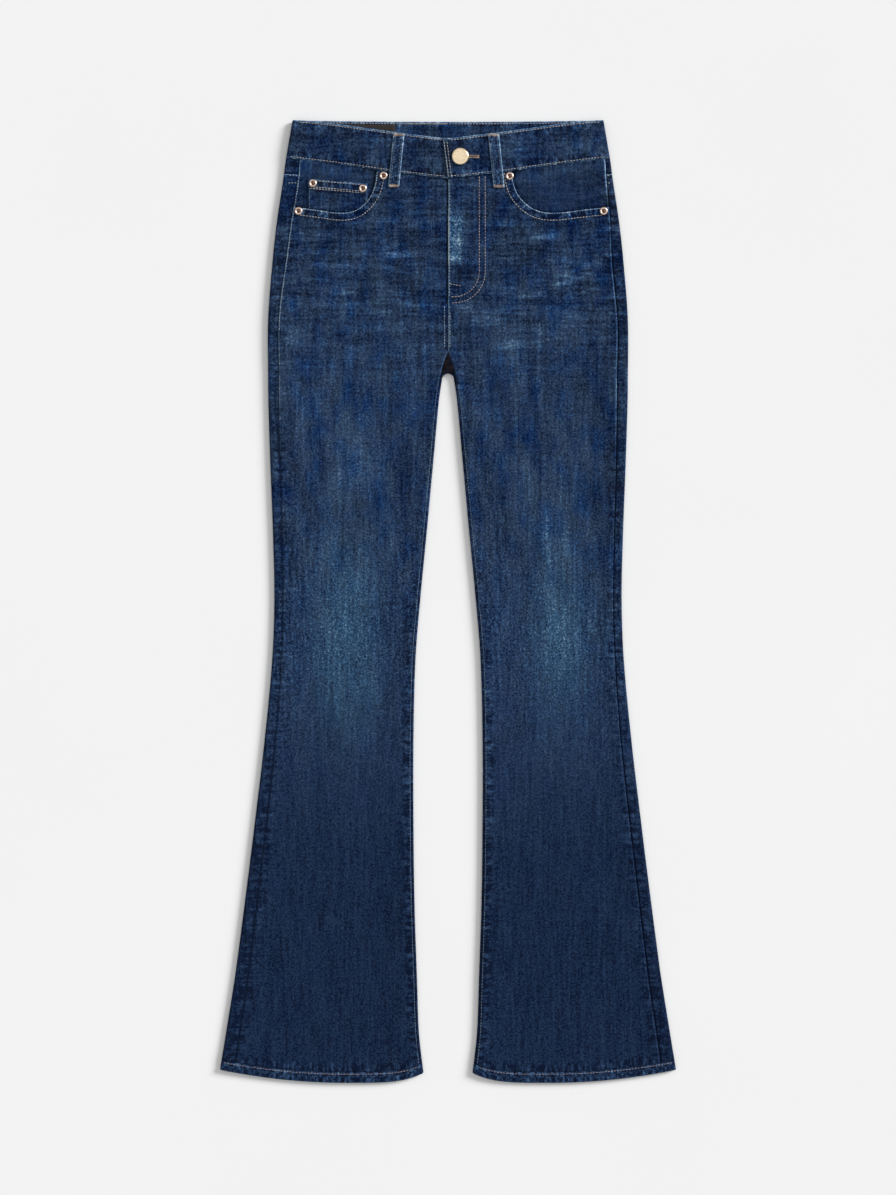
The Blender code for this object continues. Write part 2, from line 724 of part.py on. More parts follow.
def coin_pocket(name):
    """Small pocket on the right facing, shown down to the edge of the opening."""
    side = RIGHT
    waist_end, seam_end = POCKET_LINES[side][0].x, POCKET_LINES[side][-1].x
    rows = []
    for share in spread(0.0, 1.0, 3):
        row = []
        for across in spread(0.0, 1.0, 6):
            x = mix(COIN_POCKET_OUTER[0], COIN_POCKET_INNER[0], across)
            top = mix(COIN_POCKET_OUTER[1], COIN_POCKET_INNER[1], across)
            edge = through(POCKET_EDGE, (x - waist_end) / (seam_end - waist_end))
            low = edge + COIN_POCKET_LOW_GAP
            height = mix(low, top, share)
            row.append((x, height, coin_face(x, height, side)))
        rows.append(row)
    return build_sheet(name, rows, WALL, side, looks_up=True)


def waistband(name):
    """One strip from the right end under the button, round the back, to the left end over it."""
    fold_low, fold_high = outer_fold(SIDE_WAIST), outer_fold(LENGTH)
    radius = (BAND_FRONT_FACE - BACK_LIFT) / 2
    stations = []

    def front_station(side, low_x, high_x):
        """side * distance may pass the centre line, where the end lies over or under it."""
        low = (side * low_x, through(BAND_LOWER, abs(low_x)), band_face(low_x, side))
        high = (side * high_x, through(BAND_UPPER, abs(high_x)), band_face(high_x, side))
        stations.append((low, high))

    def fold_stations(side, angles):
        for degrees in angles:
            turn = math.radians(degrees)
            z = BACK_LIFT + radius + radius * math.sin(turn)
            reach = radius * (math.cos(turn) - 1)
            low = (side * (fold_low + reach), SIDE_WAIST, z)
            high = (side * (fold_high + reach), LENGTH, z)
            stations.append((low, high))

    front_shares = (0.36, 0.52, 0.68, 0.84)
    ends = [-UNDERLAP_END, -0.020, 0.0, 0.012, 0.024, 0.036, 0.050]
    for x in ends:
        front_station(RIGHT, x, x)
    for share in front_shares:
        front_station(RIGHT, share * (fold_low - radius), share * (fold_high - radius))
    fold_stations(RIGHT, (90, 45, 0, -45, -90))
    for share in spread(-1.0, 1.0, 12)[1:-1]:
        sink = 1 - share * share
        low_height = mix(BACK_WAIST_CENTRE, SIDE_WAIST, abs(share))
        low = (share * (fold_low - radius), low_height, BACK_LIFT)
        high = (share * (fold_high - radius), LENGTH - BAND_BACK_DIP * sink, BACK_LIFT)
        stations.append((low, high))
    fold_stations(LEFT, (-90, -45, 0, 45, 90))
    for share in reversed(front_shares):
        front_station(LEFT, share * (fold_low - radius), share * (fold_high - radius))
    for x in (0.050, 0.044, 0.030, 0.015):
        front_station(LEFT, x, x)
    front_station(LEFT, OVERLAP_LOW_END, OVERLAP_TOP_END)

    rows = []
    for share in (0.0, 0.5, 1.0):
        rows.append([placed(*[mix(a, b, share) for a, b in zip(*pair)]) for pair in stations])
    finish = material("waistband_denim", DENIM)
    return sheet(name, rows, BAND_WALL, finish, face_up=False)


def cut_buttonhole(band):
    """Cuts the keyhole buttonhole: a round eye for the shank and a narrow slit."""
    x, height = BUTTON_AT
    # The slit starts inside the eye, so the two shapes overlap and one cutter holds both
    slit_start = x + BUTTONHOLE_EYE / 2
    low, high = BAND_UNDER_FACE + GAP / 2, BAND_OVER_FACE + 0.002
    shapes = []
    bm = bmesh.new()
    bmesh.ops.create_cone(
        bm,
        cap_ends=True,
        segments=12,
        radius1=BUTTONHOLE_EYE,
        radius2=BUTTONHOLE_EYE,
        depth=high - low,
    )
    shapes.append((bm, Vector((x, height, (low + high) / 2)), Vector((1, 1, 1))))
    bm = bmesh.new()
    bmesh.ops.create_cube(bm, size=1.0)
    middle = Vector(((slit_start + BUTTONHOLE_END) / 2, height, (low + high) / 2))
    shapes.append((bm, middle, Vector((BUTTONHOLE_END - slit_start, BUTTONHOLE_WIDTH, high - low))))
    for i, (bm, middle, size) in enumerate(shapes):
        bmesh.ops.scale(bm, vec=size, verts=bm.verts[:])
        bmesh.ops.translate(bm, vec=placed(*middle), verts=bm.verts[:])
        mesh = bpy.data.meshes.new(f"buttonhole_cutter_{i}")
        bm.to_mesh(mesh)
        bm.free()
        cutter = bpy.data.objects.new(mesh.name, mesh)
        cutter.hide_render = True
        cutter.display_type = "WIRE"
        bpy.context.scene.collection.objects.link(cutter)
        cut = band.modifiers.new(f"buttonhole_{i}", "BOOLEAN")
        cut.operation = "DIFFERENCE"
        cut.solver = "EXACT"
        cut.object = cutter


def hem(side, name):
    """Turned hem of one leg, a flattened ring round the leg opening."""
    rows = []
    for height in (0.0, HEM_DEPTH / 2, HEM_DEPTH):
        outer, inner = outer_fold(height), inner_fold(height)
        outer_edge, inner_edge = Vector((outer, height)), Vector((inner, height))
        outer_round = fold(outer_edge, Vector((-1.0, 0.0)), 0.0, LEG_EDGE, FOLD_ANGLES)
        inner_round = fold(inner_edge, Vector((1.0, 0.0)), 0.0, LEG_EDGE, INNER_FOLD_ANGLES)
        row = outer_round[::-1]
        low_start, low_end = outer_round[0][0], inner_round[0][0]
        row += [(x, height, 0.0) for x in spread(low_start, low_end, UNDERSIDE_COLUMNS)[1:-1]]
        row += inner_round
        for x in across_front(outseam(height, side), front_edge(height))[::-1]:
            from_fold = min(outer - x, x - inner)
            row.append((x, height, LEG_EDGE - HEM_SAG * smooth(from_fold / SAG_REACH)))
        row.append(row[0])
        rows.append([(x, with_hem_curve(x, h), z) for x, h, z in row])
    return build_sheet(name, rows, HEM_WALL, side, looks_up=False, colour=DENIM_WORN, closed=True)


def front_loop(side, name):
    """Front belt loop: over the waistband and down onto the front panel."""
    top_x, low_x = FRONT_LOOPS[side]
    seam = through(BAND_LOWER, (top_x + low_x) / 2)
    top = through(BAND_UPPER, top_x) - 0.0010
    low = seam - LOOP_BELOW
    heights = (low, seam - 0.0080, seam - 0.0012, seam + 0.0150, top - 0.0100, top)
    rows = []
    for height in heights:
        middle = mix(low_x, top_x, (height - low) / (top - low))
        row = []
        for across in (0.5, 0.0, -0.5):
            x = middle + across * LOOP_WIDTH
            on_band = height > seam - 0.0020
            under = band_face(x, side) if on_band else front_face(x, height, side) + 0.0001
            row.append((x, height, under + GAP + LOOP_WALL))
        rows.append(row)
    return build_sheet(name, rows, LOOP_WALL, side, looks_up=True, colour=DENIM_WORN)


def back_loop(middle, name):
    """Back belt loop, flat between the waistband and the surface that the garment lies on."""
    share = abs(middle) / outer_fold(LENGTH)
    top = LENGTH - BAND_BACK_DIP - 0.001
    low = mix(BACK_WAIST_CENTRE, SIDE_WAIST, share) - LOOP_BELOW
    rows = []
    for height in spread(low, top, 3):
        row = [placed(middle + across * LOOP_WIDTH, height, 0.0) for across in (-0.5, 0.0, 0.5)]
        rows.append(row)
    finish = material("belt_denim", DENIM_WORN)
    return sheet(name, rows, BACK_LIFT - GAP, finish, face_up=False)


def back_pocket(side, name):
    """Patch pocket on the seat with a pointed lower edge."""
    rows = []
    for share in (0.0, 0.33, 0.66, 1.0):
        half = mix(BACK_POCKET_LOW_HALF, BACK_POCKET_HALF, share)
        row = []
        for across in spread(1.0, -1.0, 6):
            low = BACK_POCKET_TOP - BACK_POCKET_DEPTH - BACK_POCKET_POINT * (1 - abs(across))
            row.append((BACK_POCKET_MIDDLE + across * half, mix(low, BACK_POCKET_TOP, share), 0.0))
        rows.append(row)
    return build_sheet(name, rows, BACK_LIFT - GAP, side, looks_up=False, colour=DENIM)


def flat_piece(name, x_range, height_range, top, thickness, finish, columns=4):
    """A plain flat piece with its upper face at one height."""
    rows = [
        [placed(x, height, top) for x in spread(*x_range, columns)]
        for height in spread(*height_range, 4)
    ]
    return sheet(name, rows, thickness, finish)


def fly_zip(name):
    """Closed zip under the fly: two tapes with the row of teeth standing along their middle."""
    profile = (
        (ZIP_ENDS[0], ZIP_TAPE_TOP),
        (ZIP_CHAIN_LOW[0], ZIP_TAPE_TOP),
        (ZIP_CHAIN_HIGH[0], ZIP_CHAIN_TOP),
        (ZIP_CHAIN_HIGH[1], ZIP_CHAIN_TOP),
        (ZIP_CHAIN_LOW[1], ZIP_TAPE_TOP),
        (ZIP_ENDS[1], ZIP_TAPE_TOP),
    )
    heights = spread(FLY_END + 0.012, FLY_PIECES_TOP, 4)
    rows = [[placed(x, height, z) for x, z in profile] for height in heights]
    return sheet(name, rows, ZIP_WALL, material("zip_tape", (0.02, 0.025, 0.05)))


def button(name):
    """Shank button: a shallow dome with a rolled rim, its shank through the buttonhole."""
    base = BAND_OVER_FACE + GAP
    shank_foot = BAND_UNDER_FACE + GAP - base
    dome = BUTTON_THICK
    profile = (
        (0.0, dome),
        (0.45 * BUTTON_RADIUS, dome - 0.00008),
        (0.80 * BUTTON_RADIUS, dome - 0.00035),
        (0.94 * BUTTON_RADIUS, dome - 0.0008),
        (BUTTON_RADIUS, dome - 0.0015),
        (0.97 * BUTTON_RADIUS, dome - 0.0021),
        (0.86 * BUTTON_RADIUS, 0.0004),
        (0.60 * BUTTON_RADIUS, 0.0),
        (SHANK_RADIUS, 0.0),
        (SHANK_RADIUS, shank_foot),
        (0.0, shank_foot),
    )
    finish = material("button_metal", (0.80, 0.62, 0.36), roughness=0.25, metallic=1.0)
    return lathe(name, profile, BUTTON_AT[0], BUTTON_AT[1], base, finish, steps=20)


def coin_face(x, height, side):
    """Height of the coin pocket's outer face."""
    return facing_face(x, height, side) + GAP + WALL + COIN_POCKET_EASE


def rivet_places():
    """Name, x, height and the face under each rivet."""
    places = []
    for side, word in SIDE_NAMES:
        waist_x = WAIST_RIVET_X[side]
        waist_height = through(BAND_LOWER, waist_x) - WAIST_RIVET_DROP
        side_x = outseam(SIDE_RIVET_HEIGHT, side) - SIDE_RIVET_INSET
        places.append((f"rivet_waist_{word}", waist_x, waist_height, side, front_face))
        places.append((f"rivet_side_{word}", side_x, SIDE_RIVET_HEIGHT, side, front_face))
    outer_x, inner_x = COIN_POCKET_OUTER[0] - COIN_RIVET_INSET, COIN_POCKET_INNER[0] + COIN_RIVET_INSET
    outer_height = COIN_POCKET_OUTER[1] - COIN_RIVET_DROP
    inner_height = COIN_POCKET_INNER[1] - COIN_RIVET_DROP
    places.append(("rivet_coin_outer", outer_x, outer_height, RIGHT, coin_face))
    places.append(("rivet_coin_inner", inner_x, inner_height, RIGHT, coin_face))
    return [
        (name, side * x, height, highest_under(x, height, side, face))
        for name, x, height, side, face in places
    ]


def highest_under(x, height, side, face):
    """Highest point of a face under a rivet."""
    ring = [(0.0, 0.0)]
    for step in range(8):
        turn = step * math.tau / 8
        ring.append((RIVET_RADIUS * math.cos(turn), RIVET_RADIUS * math.sin(turn)))
    return max(face(x + dx, height + dy, side) for dx, dy in ring) + RIVET_EASE


def rivet(name, x, height, face):
    """Copper rivet: a low dome with a raised burr round a pit in its middle."""
    thick = RIVET_THICK
    profile = (
        (0.0, thick - 0.0006),
        (0.16 * RIVET_RADIUS, thick - 0.0005),
        (0.26 * RIVET_RADIUS, thick + 0.0002),
        (0.40 * RIVET_RADIUS, thick - 0.0001),
        (0.78 * RIVET_RADIUS, thick - 0.0002),
        (0.97 * RIVET_RADIUS, thick - 0.0007),
        (RIVET_RADIUS, 0.0002),
        (0.96 * RIVET_RADIUS, 0.0),
        (0.0, 0.0),
    )
    finish = material("rivet_metal", (0.62, 0.40, 0.28), roughness=0.35, metallic=1.0)
    return lathe(name, profile, x, height, face + GAP, finish, steps=12)


def label(name):
    """Plain dark label on the inside of the back waistband."""
    finish = material("label_cloth", (0.012, 0.010, 0.009))
    top = BACK_LIFT + BAND_WALL + GAP + LABEL_WALL
    return flat_piece(name, LABEL_ENDS, LABEL_HEIGHTS, top, LABEL_WALL, finish, columns=6)


def clear_scene():
    for obj in list(bpy.data.objects):
        bpy.data.objects.remove(obj, do_unlink=True)


def main():
    clear_scene()
    for side, word in SIDE_NAMES:
        front_panel(side, f"front_{word}")
        back_panel(side, f"back_{word}")
        yoke(side, f"yoke_{word}")
        pocket_facing(side, f"pocket_facing_{word}")
        hem(side, f"hem_{word}")
        back_pocket(side, f"back_pocket_{word}")
        front_loop(side, f"belt_loop_front_{word}")
    coin_pocket("coin_pocket")
    band = waistband("waistband")
    cut_buttonhole(band)
    for word, middle in BACK_LOOPS:
        back_loop(middle, f"belt_loop_back_{word}")
    shield_heights = (FLY_END + FLY_EASE, FLY_PIECES_TOP)
    shield_finish = material("fly_denim", DENIM_INSIDE)
    flat_piece("fly_shield", SHIELD_ENDS, shield_heights, SHIELD_TOP, WALL, shield_finish)
    fly_zip("fly_zip")
    label("waist_label")
    button("button")
    for place in rivet_places():
        rivet(*place)


main()
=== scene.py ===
"""Looks of the flared denim jeans, laid flat on their back on a pale floor.

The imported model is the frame: every cloth node is replaced by a finer shell of the same form,
and the sewing, the button and the rivets are made here. Metres, +Z up, +Y from the hems to the
waist, +X to the wearer's left. Heights are counted from the lowest point of the hems.
"""

import logging
import math
from collections.abc import Callable, Sequence
from dataclasses import dataclass, field
from enum import Enum
from typing import NamedTuple

import bmesh
import bpy
import numpy as np
from mathutils import Matrix, Vector


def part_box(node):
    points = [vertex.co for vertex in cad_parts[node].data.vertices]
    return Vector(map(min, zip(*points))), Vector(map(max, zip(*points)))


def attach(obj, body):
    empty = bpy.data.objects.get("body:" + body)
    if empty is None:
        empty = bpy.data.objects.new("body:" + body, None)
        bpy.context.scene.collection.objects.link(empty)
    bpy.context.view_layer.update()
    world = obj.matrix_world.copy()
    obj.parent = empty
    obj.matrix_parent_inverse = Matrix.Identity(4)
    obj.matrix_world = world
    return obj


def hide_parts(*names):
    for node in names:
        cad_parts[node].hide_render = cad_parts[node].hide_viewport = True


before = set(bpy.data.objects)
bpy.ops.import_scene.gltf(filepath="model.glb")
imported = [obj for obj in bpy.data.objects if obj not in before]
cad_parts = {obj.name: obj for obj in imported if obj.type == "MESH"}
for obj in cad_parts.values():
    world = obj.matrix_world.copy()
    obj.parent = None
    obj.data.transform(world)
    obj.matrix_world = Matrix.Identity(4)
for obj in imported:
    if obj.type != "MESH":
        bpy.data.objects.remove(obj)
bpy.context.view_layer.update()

Array = np.ndarray
Material = bpy.types.Material
Made = bpy.types.Object
logging.basicConfig(level=logging.INFO, format="%(message)s")
log = logging.getLogger("jeans")


class Side(Enum):
    """The wearer's sides, as the sign of X."""

    RIGHT = -1.0
    LEFT = 1.0

    @property
    def word(self) -> str:
        """The side in a node's name."""
        return self.name.lower()


class Slot(Enum):
    """Names of material slots."""

    DENIM = "denim"
    TURNED = "denim_turned"
    ZIP = "zip_tape"
    LABEL = "label_cloth"
    BUTTON = "button_metal"
    RIVET = "rivet_metal"


def smooth(share: Array) -> Array:
    """0 below 0, 1 above 1, and an even rise between."""
    held = np.clip(share, 0.0, 1.0)
    return held * held * (3 - 2 * held)


def mix(start: Array, end: Array, share: Array) -> Array:
    """Straight mix of two values."""
    return start + (end - start) * share


def bell(away: Array) -> Array:
    """1 at 0, falling evenly to both sides."""
    return np.exp(-away * away)


def way_along(points: Array) -> Array:
    """Way travelled from the first of a line's points to each of them."""
    steps = np.linalg.norm(np.diff(points, axis=0), axis=1)
    return np.concatenate([[0.0], np.cumsum(steps)])


def points_at(line: Array, known: Array, ways: Array) -> Array:
    """Points of a line at these ways, where known gives the ways of its own points."""
    return np.stack([np.interp(ways, known, column) for column in line.T], axis=-1)


@dataclass(frozen=True)
class Curve:
    """A smooth curve through (place, value) knots, held past its ends."""

    knots: tuple[tuple[float, float], ...]

    def __call__(self, at: Array) -> Array:
        """Value of the curve.

        Args:
            at: Places to read it at.

        Returns:
            The values there.
        """
        places, values = np.array(self.knots).T
        index = np.arange(len(places))
        before, after = np.maximum(index - 1, 0), np.minimum(index + 1, len(places) - 1)
        slopes = (values[after] - values[before]) / (places[after] - places[before])
        held = np.clip(at, places[0], places[-1])
        i = np.clip(np.searchsorted(places, held, side="right") - 1, 0, len(places) - 2)
        width = places[i + 1] - places[i]
        t = (held - places[i]) / width
        return (
            values[i] * (2 * t**3 - 3 * t**2 + 1)
            + slopes[i] * width * (t**3 - 2 * t**2 + t)
            + values[i + 1] * (3 * t**2 - 2 * t**3)
            + slopes[i + 1] * width * (t**3 - t**2)
        )


class Outline(NamedTuple):
    """Half widths of the laid garment at one height, from the centre line."""

    height: float
    outer: float
    inner: float
    seam_inset: float


OUTLINE = tuple(Outline(*row) for row in (
    (0.0000, 0.2510, 0.0270, 0.0155),
    (0.0473, 0.2442, 0.0319, 0.0150),
    (0.1133, 0.2349, 0.0341, 0.0145),
    (0.2013, 0.2233, 0.0369, 0.0135),
    (0.2893, 0.2123, 0.0380, 0.0130),
    (0.3773, 0.2019, 0.0380, 0.0120),
    (0.4653, 0.1936, 0.0358, 0.0100),
    (0.5313, 0.1912, 0.0306, 0.0095),
    (0.5973, 0.1925, 0.0242, 0.0100),
    (0.6853, 0.1958, 0.0160, 0.0110),
    (0.7513, 0.1978, 0.0099, 0.0120),
    (0.7740, 0.1980, 0.0066, 0.0122),
    (0.8393, 0.1980, 0.0000, 0.0118),
    (0.9053, 0.1930, 0.0000, 0.0138),
    (0.9493, 0.1881, 0.0000, 0.0128),
    (0.9933, 0.1815, 0.0000, 0.0118),
    (1.0175, 0.1782, 0.0000, 0.0104),
    (1.0373, 0.1746, 0.0000, 0.0100),
    (1.0590, 0.1711, 0.0000, 0.0100),
))


class SoftFold(NamedTuple):
    """A long shallow ridge (rise above 0) or trough across the fronts, running up the garment."""

    x: float
    height: float
    length: float
    width: float
    rise: float
    lean: float = 0.0
    bow: float = 0.0


SOFT_FOLDS = tuple(SoftFold(*row) for row in (
    (0.107, 0.705, 0.330, 0.009, 0.0006, 0.004),
    (0.088, 0.640, 0.420, 0.020, -0.0004, 0.006),
    (0.125, 0.330, 0.500, 0.026, 0.0006, -0.020, 0.006),
    (0.165, 0.210, 0.380, 0.020, 0.0004, -0.026),
    (-0.100, 0.560, 0.460, 0.018, 0.0005, -0.006),
    (-0.118, 0.300, 0.460, 0.028, 0.0006, 0.018, -0.004),
    (-0.170, 0.190, 0.340, 0.018, 0.0004, 0.024),
    (-0.075, 0.180, 0.300, 0.020, -0.0003, 0.004),
))


class Stroke(NamedTuple):
    """A short crease or a stroke of the washing: where it starts and ends, its width and strength.
    """

    x0: float
    height0: float
    x1: float
    height1: float
    width: float
    strength: float

    def shape(self, x: Array, height: Array) -> Array:
        """1 along its middle, falling to its sides and ends, x signed."""
        run_x, run_height = self.x1 - self.x0, self.height1 - self.height0
        long = math.hypot(run_x, run_height)
        share = ((x - self.x0) * run_x + (height - self.height0) * run_height) / long**2
        across = ((x - self.x0) * run_height - (height - self.height0) * run_x) / long
        bowed = across + 0.10 * long * share * (share - 1)
        return smooth(share / 0.3) * smooth((1 - share) / 0.4) * bell(bowed / self.width)


CREASES = tuple(Stroke(*row) for row in (
    (0.012, 0.868, 0.075, 0.884, 0.0055, 0.00045),
    (0.020, 0.842, 0.110, 0.866, 0.0060, 0.00050),
    (0.060, 0.872, 0.168, 0.905, 0.0065, 0.00045),
    (0.085, 0.846, 0.178, 0.884, 0.0060, 0.00040),
    (0.010, 0.815, 0.085, 0.828, 0.0070, 0.00045),
    (0.095, 0.918, 0.165, 0.931, 0.0060, 0.00030),
    (-0.014, 0.872, -0.082, 0.894, 0.0060, 0.00045),
    (-0.018, 0.846, -0.120, 0.866, 0.0060, 0.00050),
    (-0.070, 0.900, -0.165, 0.922, 0.0065, 0.00040),
    (-0.062, 0.836, -0.170, 0.868, 0.0065, 0.00035),
    (-0.012, 0.812, -0.076, 0.820, 0.0070, 0.00045),
    (-0.150, 0.780, -0.184, 0.792, 0.0060, 0.00035),
    (0.040, 0.300, 0.058, 0.240, 0.0080, 0.00035),
    (-0.042, 0.420, -0.060, 0.365, 0.0080, 0.00035),
    (-0.186, 0.560, -0.168, 0.500, 0.0080, 0.00030),
    (0.184, 0.620, 0.166, 0.560, 0.0080, 0.00030),
))

POCKET_EDGE = Curve((
    (0.000, 1.0020), (0.015, 0.9910), (0.065, 0.9772), (0.185, 0.9640), (0.320, 0.9580),
    (0.500, 0.9574), (0.720, 0.9602), (1.000, 0.9635),
))


@dataclass(frozen=True)
class Laid:
    """Sizes and surfaces of the garment as it lies: outlines by height, faces by place."""

    length: float = 1.0590
    wall: float = 0.0010
    gap: float = 0.0003
    leg_edge: float = 0.0050
    leg_sag: float = 0.0018
    sag_reach: float = 0.045
    hip_height: float = 0.0054
    back_lift: float = 0.0013
    waist_rise: float = 0.0006
    waist_rise_reach: float = 0.025
    hem_rise: float = 0.0008
    hem_rise_reach: float = 0.040
    hem_depth: float = 0.0115
    crotch_front: float = 0.8041
    crotch_fold: float = 0.7805
    crotch_radius: float = 0.0066
    crotch_row_end: float = 0.808
    yoke_side: float = 1.0000
    yoke_centre: float = 0.9600
    back_waist_centre: float = 1.0150
    side_waist: float = 1.0175
    fly_end: float = 0.8585
    fly_width: float = 0.0405
    fly_rounding: float = 0.034
    fly_rise: float = 0.0010
    inseam_inset: float = 0.0027
    pocket_hem: float = 0.0090
    pocket_hem_rise: float = 0.0006
    seam_swing: float = 0.0048
    seam_swing_start: float = 0.860
    seam_swing_reach: float = 0.155
    outer: Curve = Curve(tuple((row.height, row.outer) for row in OUTLINE))
    inner: Curve = Curve(tuple((row.height, row.inner) for row in OUTLINE if row.inner > 0))
    inset: Curve = Curve(tuple((row.height, row.seam_inset) for row in OUTLINE))
    band_lower: Curve = Curve(((0.000, 0.9950), (0.050, 1.0005), (0.120, 1.0103), (0.1782, 1.0175)))
    band_upper: Curve = Curve(
        ((0.000, 1.0385), (0.060, 1.0460), (0.110, 1.0530), (0.150, 1.0578), (0.1711, 1.0590))
    )
    pocket_waist_end: dict[Side, float] = field(
        default_factory=lambda: {Side.RIGHT: 0.0784, Side.LEFT: 0.0700}
    )

    @property
    def notch_start(self) -> float:
        """Height at which the round of the notch between the legs begins."""
        return self.crotch_fold - self.crotch_radius

    @property
    def fly_corner(self) -> tuple[float, float]:
        """Middle of the round at the fly's lower end."""
        return self.fly_width - self.fly_rounding, self.fly_end + self.fly_rounding

    def outseam(self, height: Array, side: Side) -> Array:
        """Distance of the outseam from the centre line."""
        swing = smooth((height - self.seam_swing_start) / self.seam_swing_reach)
        return self.outer(height) - self.inset(height) + side.value * self.seam_swing * swing

    def inseam(self, height: Array) -> Array:
        """Distance of the inseam from the centre line, falling to 0 at the crotch point."""
        share = (height - self.notch_start) / (self.crotch_front - self.notch_start)
        share = np.clip(share, 0.0, 1.0)
        upper = (self.crotch_radius + self.inseam_inset) * (1 - share) * (1 + 0.4 * share)
        return np.where(share > 0, upper, self.inner(height) + self.inseam_inset)

    def front_edge(self, height: Array) -> Array:
        """Inner edge of a front panel: along the inseam, and above it the centre front."""
        return np.maximum(self.inseam(height) + 0.5 * self.gap, self.gap / 2)

    def bend_hem(self, x: Array, height: Array) -> Array:
        """Height of a row at x, bent with the hem near the bottom of the leg."""
        lowest = 0.62
        low, high = self.inner(height), self.outer(height)
        across = np.clip((high - x) / (high - low), 0.0, 1.0)
        outer_part = 0.0145 * ((lowest - across) / lowest) ** 2
        inner_part = 0.0110 * ((across - lowest) / (1 - lowest)) ** 4
        curve = np.where(across < lowest, outer_part, inner_part)
        return height + curve * np.clip(1 - height / 0.12, 0.0, 1.0)

    def pocket_line(self, side: Side, count: int = 240) -> Array:
        """Points of the pocket opening from the waist to the outseam, evenly spaced."""
        share = np.linspace(0.0, 1.0, 600) ** 2
        end = self.outseam(POCKET_EDGE.knots[-1][1], side) - self.gap / 2
        line = np.stack([mix(self.pocket_waist_end[side], end, share), POCKET_EDGE(share)], axis=-1)
        travelled = way_along(line)
        return points_at(line, travelled, np.linspace(0.0, travelled[-1], count))

    def above_pocket(self, x: Array, height: Array, side: Side) -> tuple[Array, Array]:
        """Where places lie by the pocket edge.

        Args:
            x: Distances from the centre line.
            height: Heights.
            side: The pocket's side.

        Returns:
            The distance above the edge, below 0 under the front, and the way along it.
        """
        line = self.pocket_line(side)
        spacing = float(np.linalg.norm(line[1] - line[0]))
        away = np.full(x.shape, np.inf)
        along = np.zeros(x.shape)
        for i, (line_x, line_height) in enumerate(line):
            here = np.hypot(x - line_x, height - line_height)
            nearer = here < away
            away = np.where(nearer, here, away)
            along = np.where(nearer, i * spacing, along)
        share = (x - line[0, 0]) / (line[-1, 0] - line[0, 0])
        inside = (share > 0) & (height > POCKET_EDGE(np.clip(share, 0.0, 1.0)))
        return np.where(inside, away, -away), along

    def inside_fly(self, x: Array, height: Array) -> Array:
        """Distance inside the curved stitching of the fly, below 0 outside it."""
        corner_x, corner_height = self.fly_corner
        straight = np.minimum(self.fly_width - x, height - self.fly_end)
        round_part = self.fly_rounding - np.hypot(x - corner_x, height - corner_height)
        return np.where((height > corner_height) | (x < corner_x), straight, round_part)

    def soft_relief(self, x: Array, height: Array) -> Array:
        """Rise and fall of the long folds and the short creases, x signed."""
        level = np.zeros(np.broadcast(x, height).shape)
        for row in SOFT_FOLDS:
            reach = (height - row.height) / (row.length / 2)
            middle = row.x + row.lean * reach + row.bow * reach * reach
            fading = np.clip(1 - reach * reach, 0.0, 1.0) ** 2
            level = level + row.rise * fading * bell((x - middle) / row.width)
        return level + sum(row.strength * row.shape(x, height) for row in CREASES)

    def plain_front(self, x: Array, height: Array) -> Array:
        """Height of the fronts' outer face above the surface, without turned edges."""
        leg = 1 - smooth((height - 0.740) / 0.110)
        from_fold = np.minimum(self.outer(height) - x, x - self.inner(height))
        level = mix(self.hip_height, self.leg_edge, leg)
        level = level - self.leg_sag * leg * smooth(from_fold / self.sag_reach)
        to_waist = (height - self.band_lower(x)) / self.waist_rise_reach
        level = level + self.waist_rise * smooth(1 + to_waist)
        return level + self.hem_rise * (1 - smooth(height / self.hem_rise_reach))

    def front_face(self, x: Array, height: Array, side: Side) -> Array:
        """Height of a front panel's outer face, with its pocket edge and fly raised."""
        level = self.plain_front(x, height) + self.soft_relief(side.value * x, height)
        depth = -self.above_pocket(x, height, side)[0]
        turned = 1 - smooth((depth - self.pocket_hem) / 0.002)
        level = level + self.pocket_hem_rise * np.where(depth > -0.001, turned, 0.0)
        if side is Side.LEFT:
            fly = smooth(self.inside_fly(x, height) / 0.003 + 0.5)
            level = level + self.fly_rise * fly * (height > self.fly_end - 0.01)
        return level

    def seat_face(self, height: Array) -> Array:
        """Height of the back's outer face: on the floor at the legs, lifted under the seat."""
        return self.back_lift * smooth((height - 0.770) / 0.040)

    def facing_face(self, x: Array, height: Array, side: Side) -> Array:
        """Height of the pocket facing: level with the front, dipping under the pocket edge."""
        above = self.above_pocket(x, height, side)[0]
        under_edge = 1 - smooth(above / 0.022)
        return self.plain_front(x, height) - (self.wall + 2 * self.gap) * under_edge

    def pocket_edge(self, x: Array, side: Side) -> Array:
        """Height of the pocket opening's edge."""
        end = self.outseam(POCKET_EDGE.knots[-1][1], side) - self.gap / 2
        return POCKET_EDGE((x - self.pocket_waist_end[side]) / (end - self.pocket_waist_end[side]))


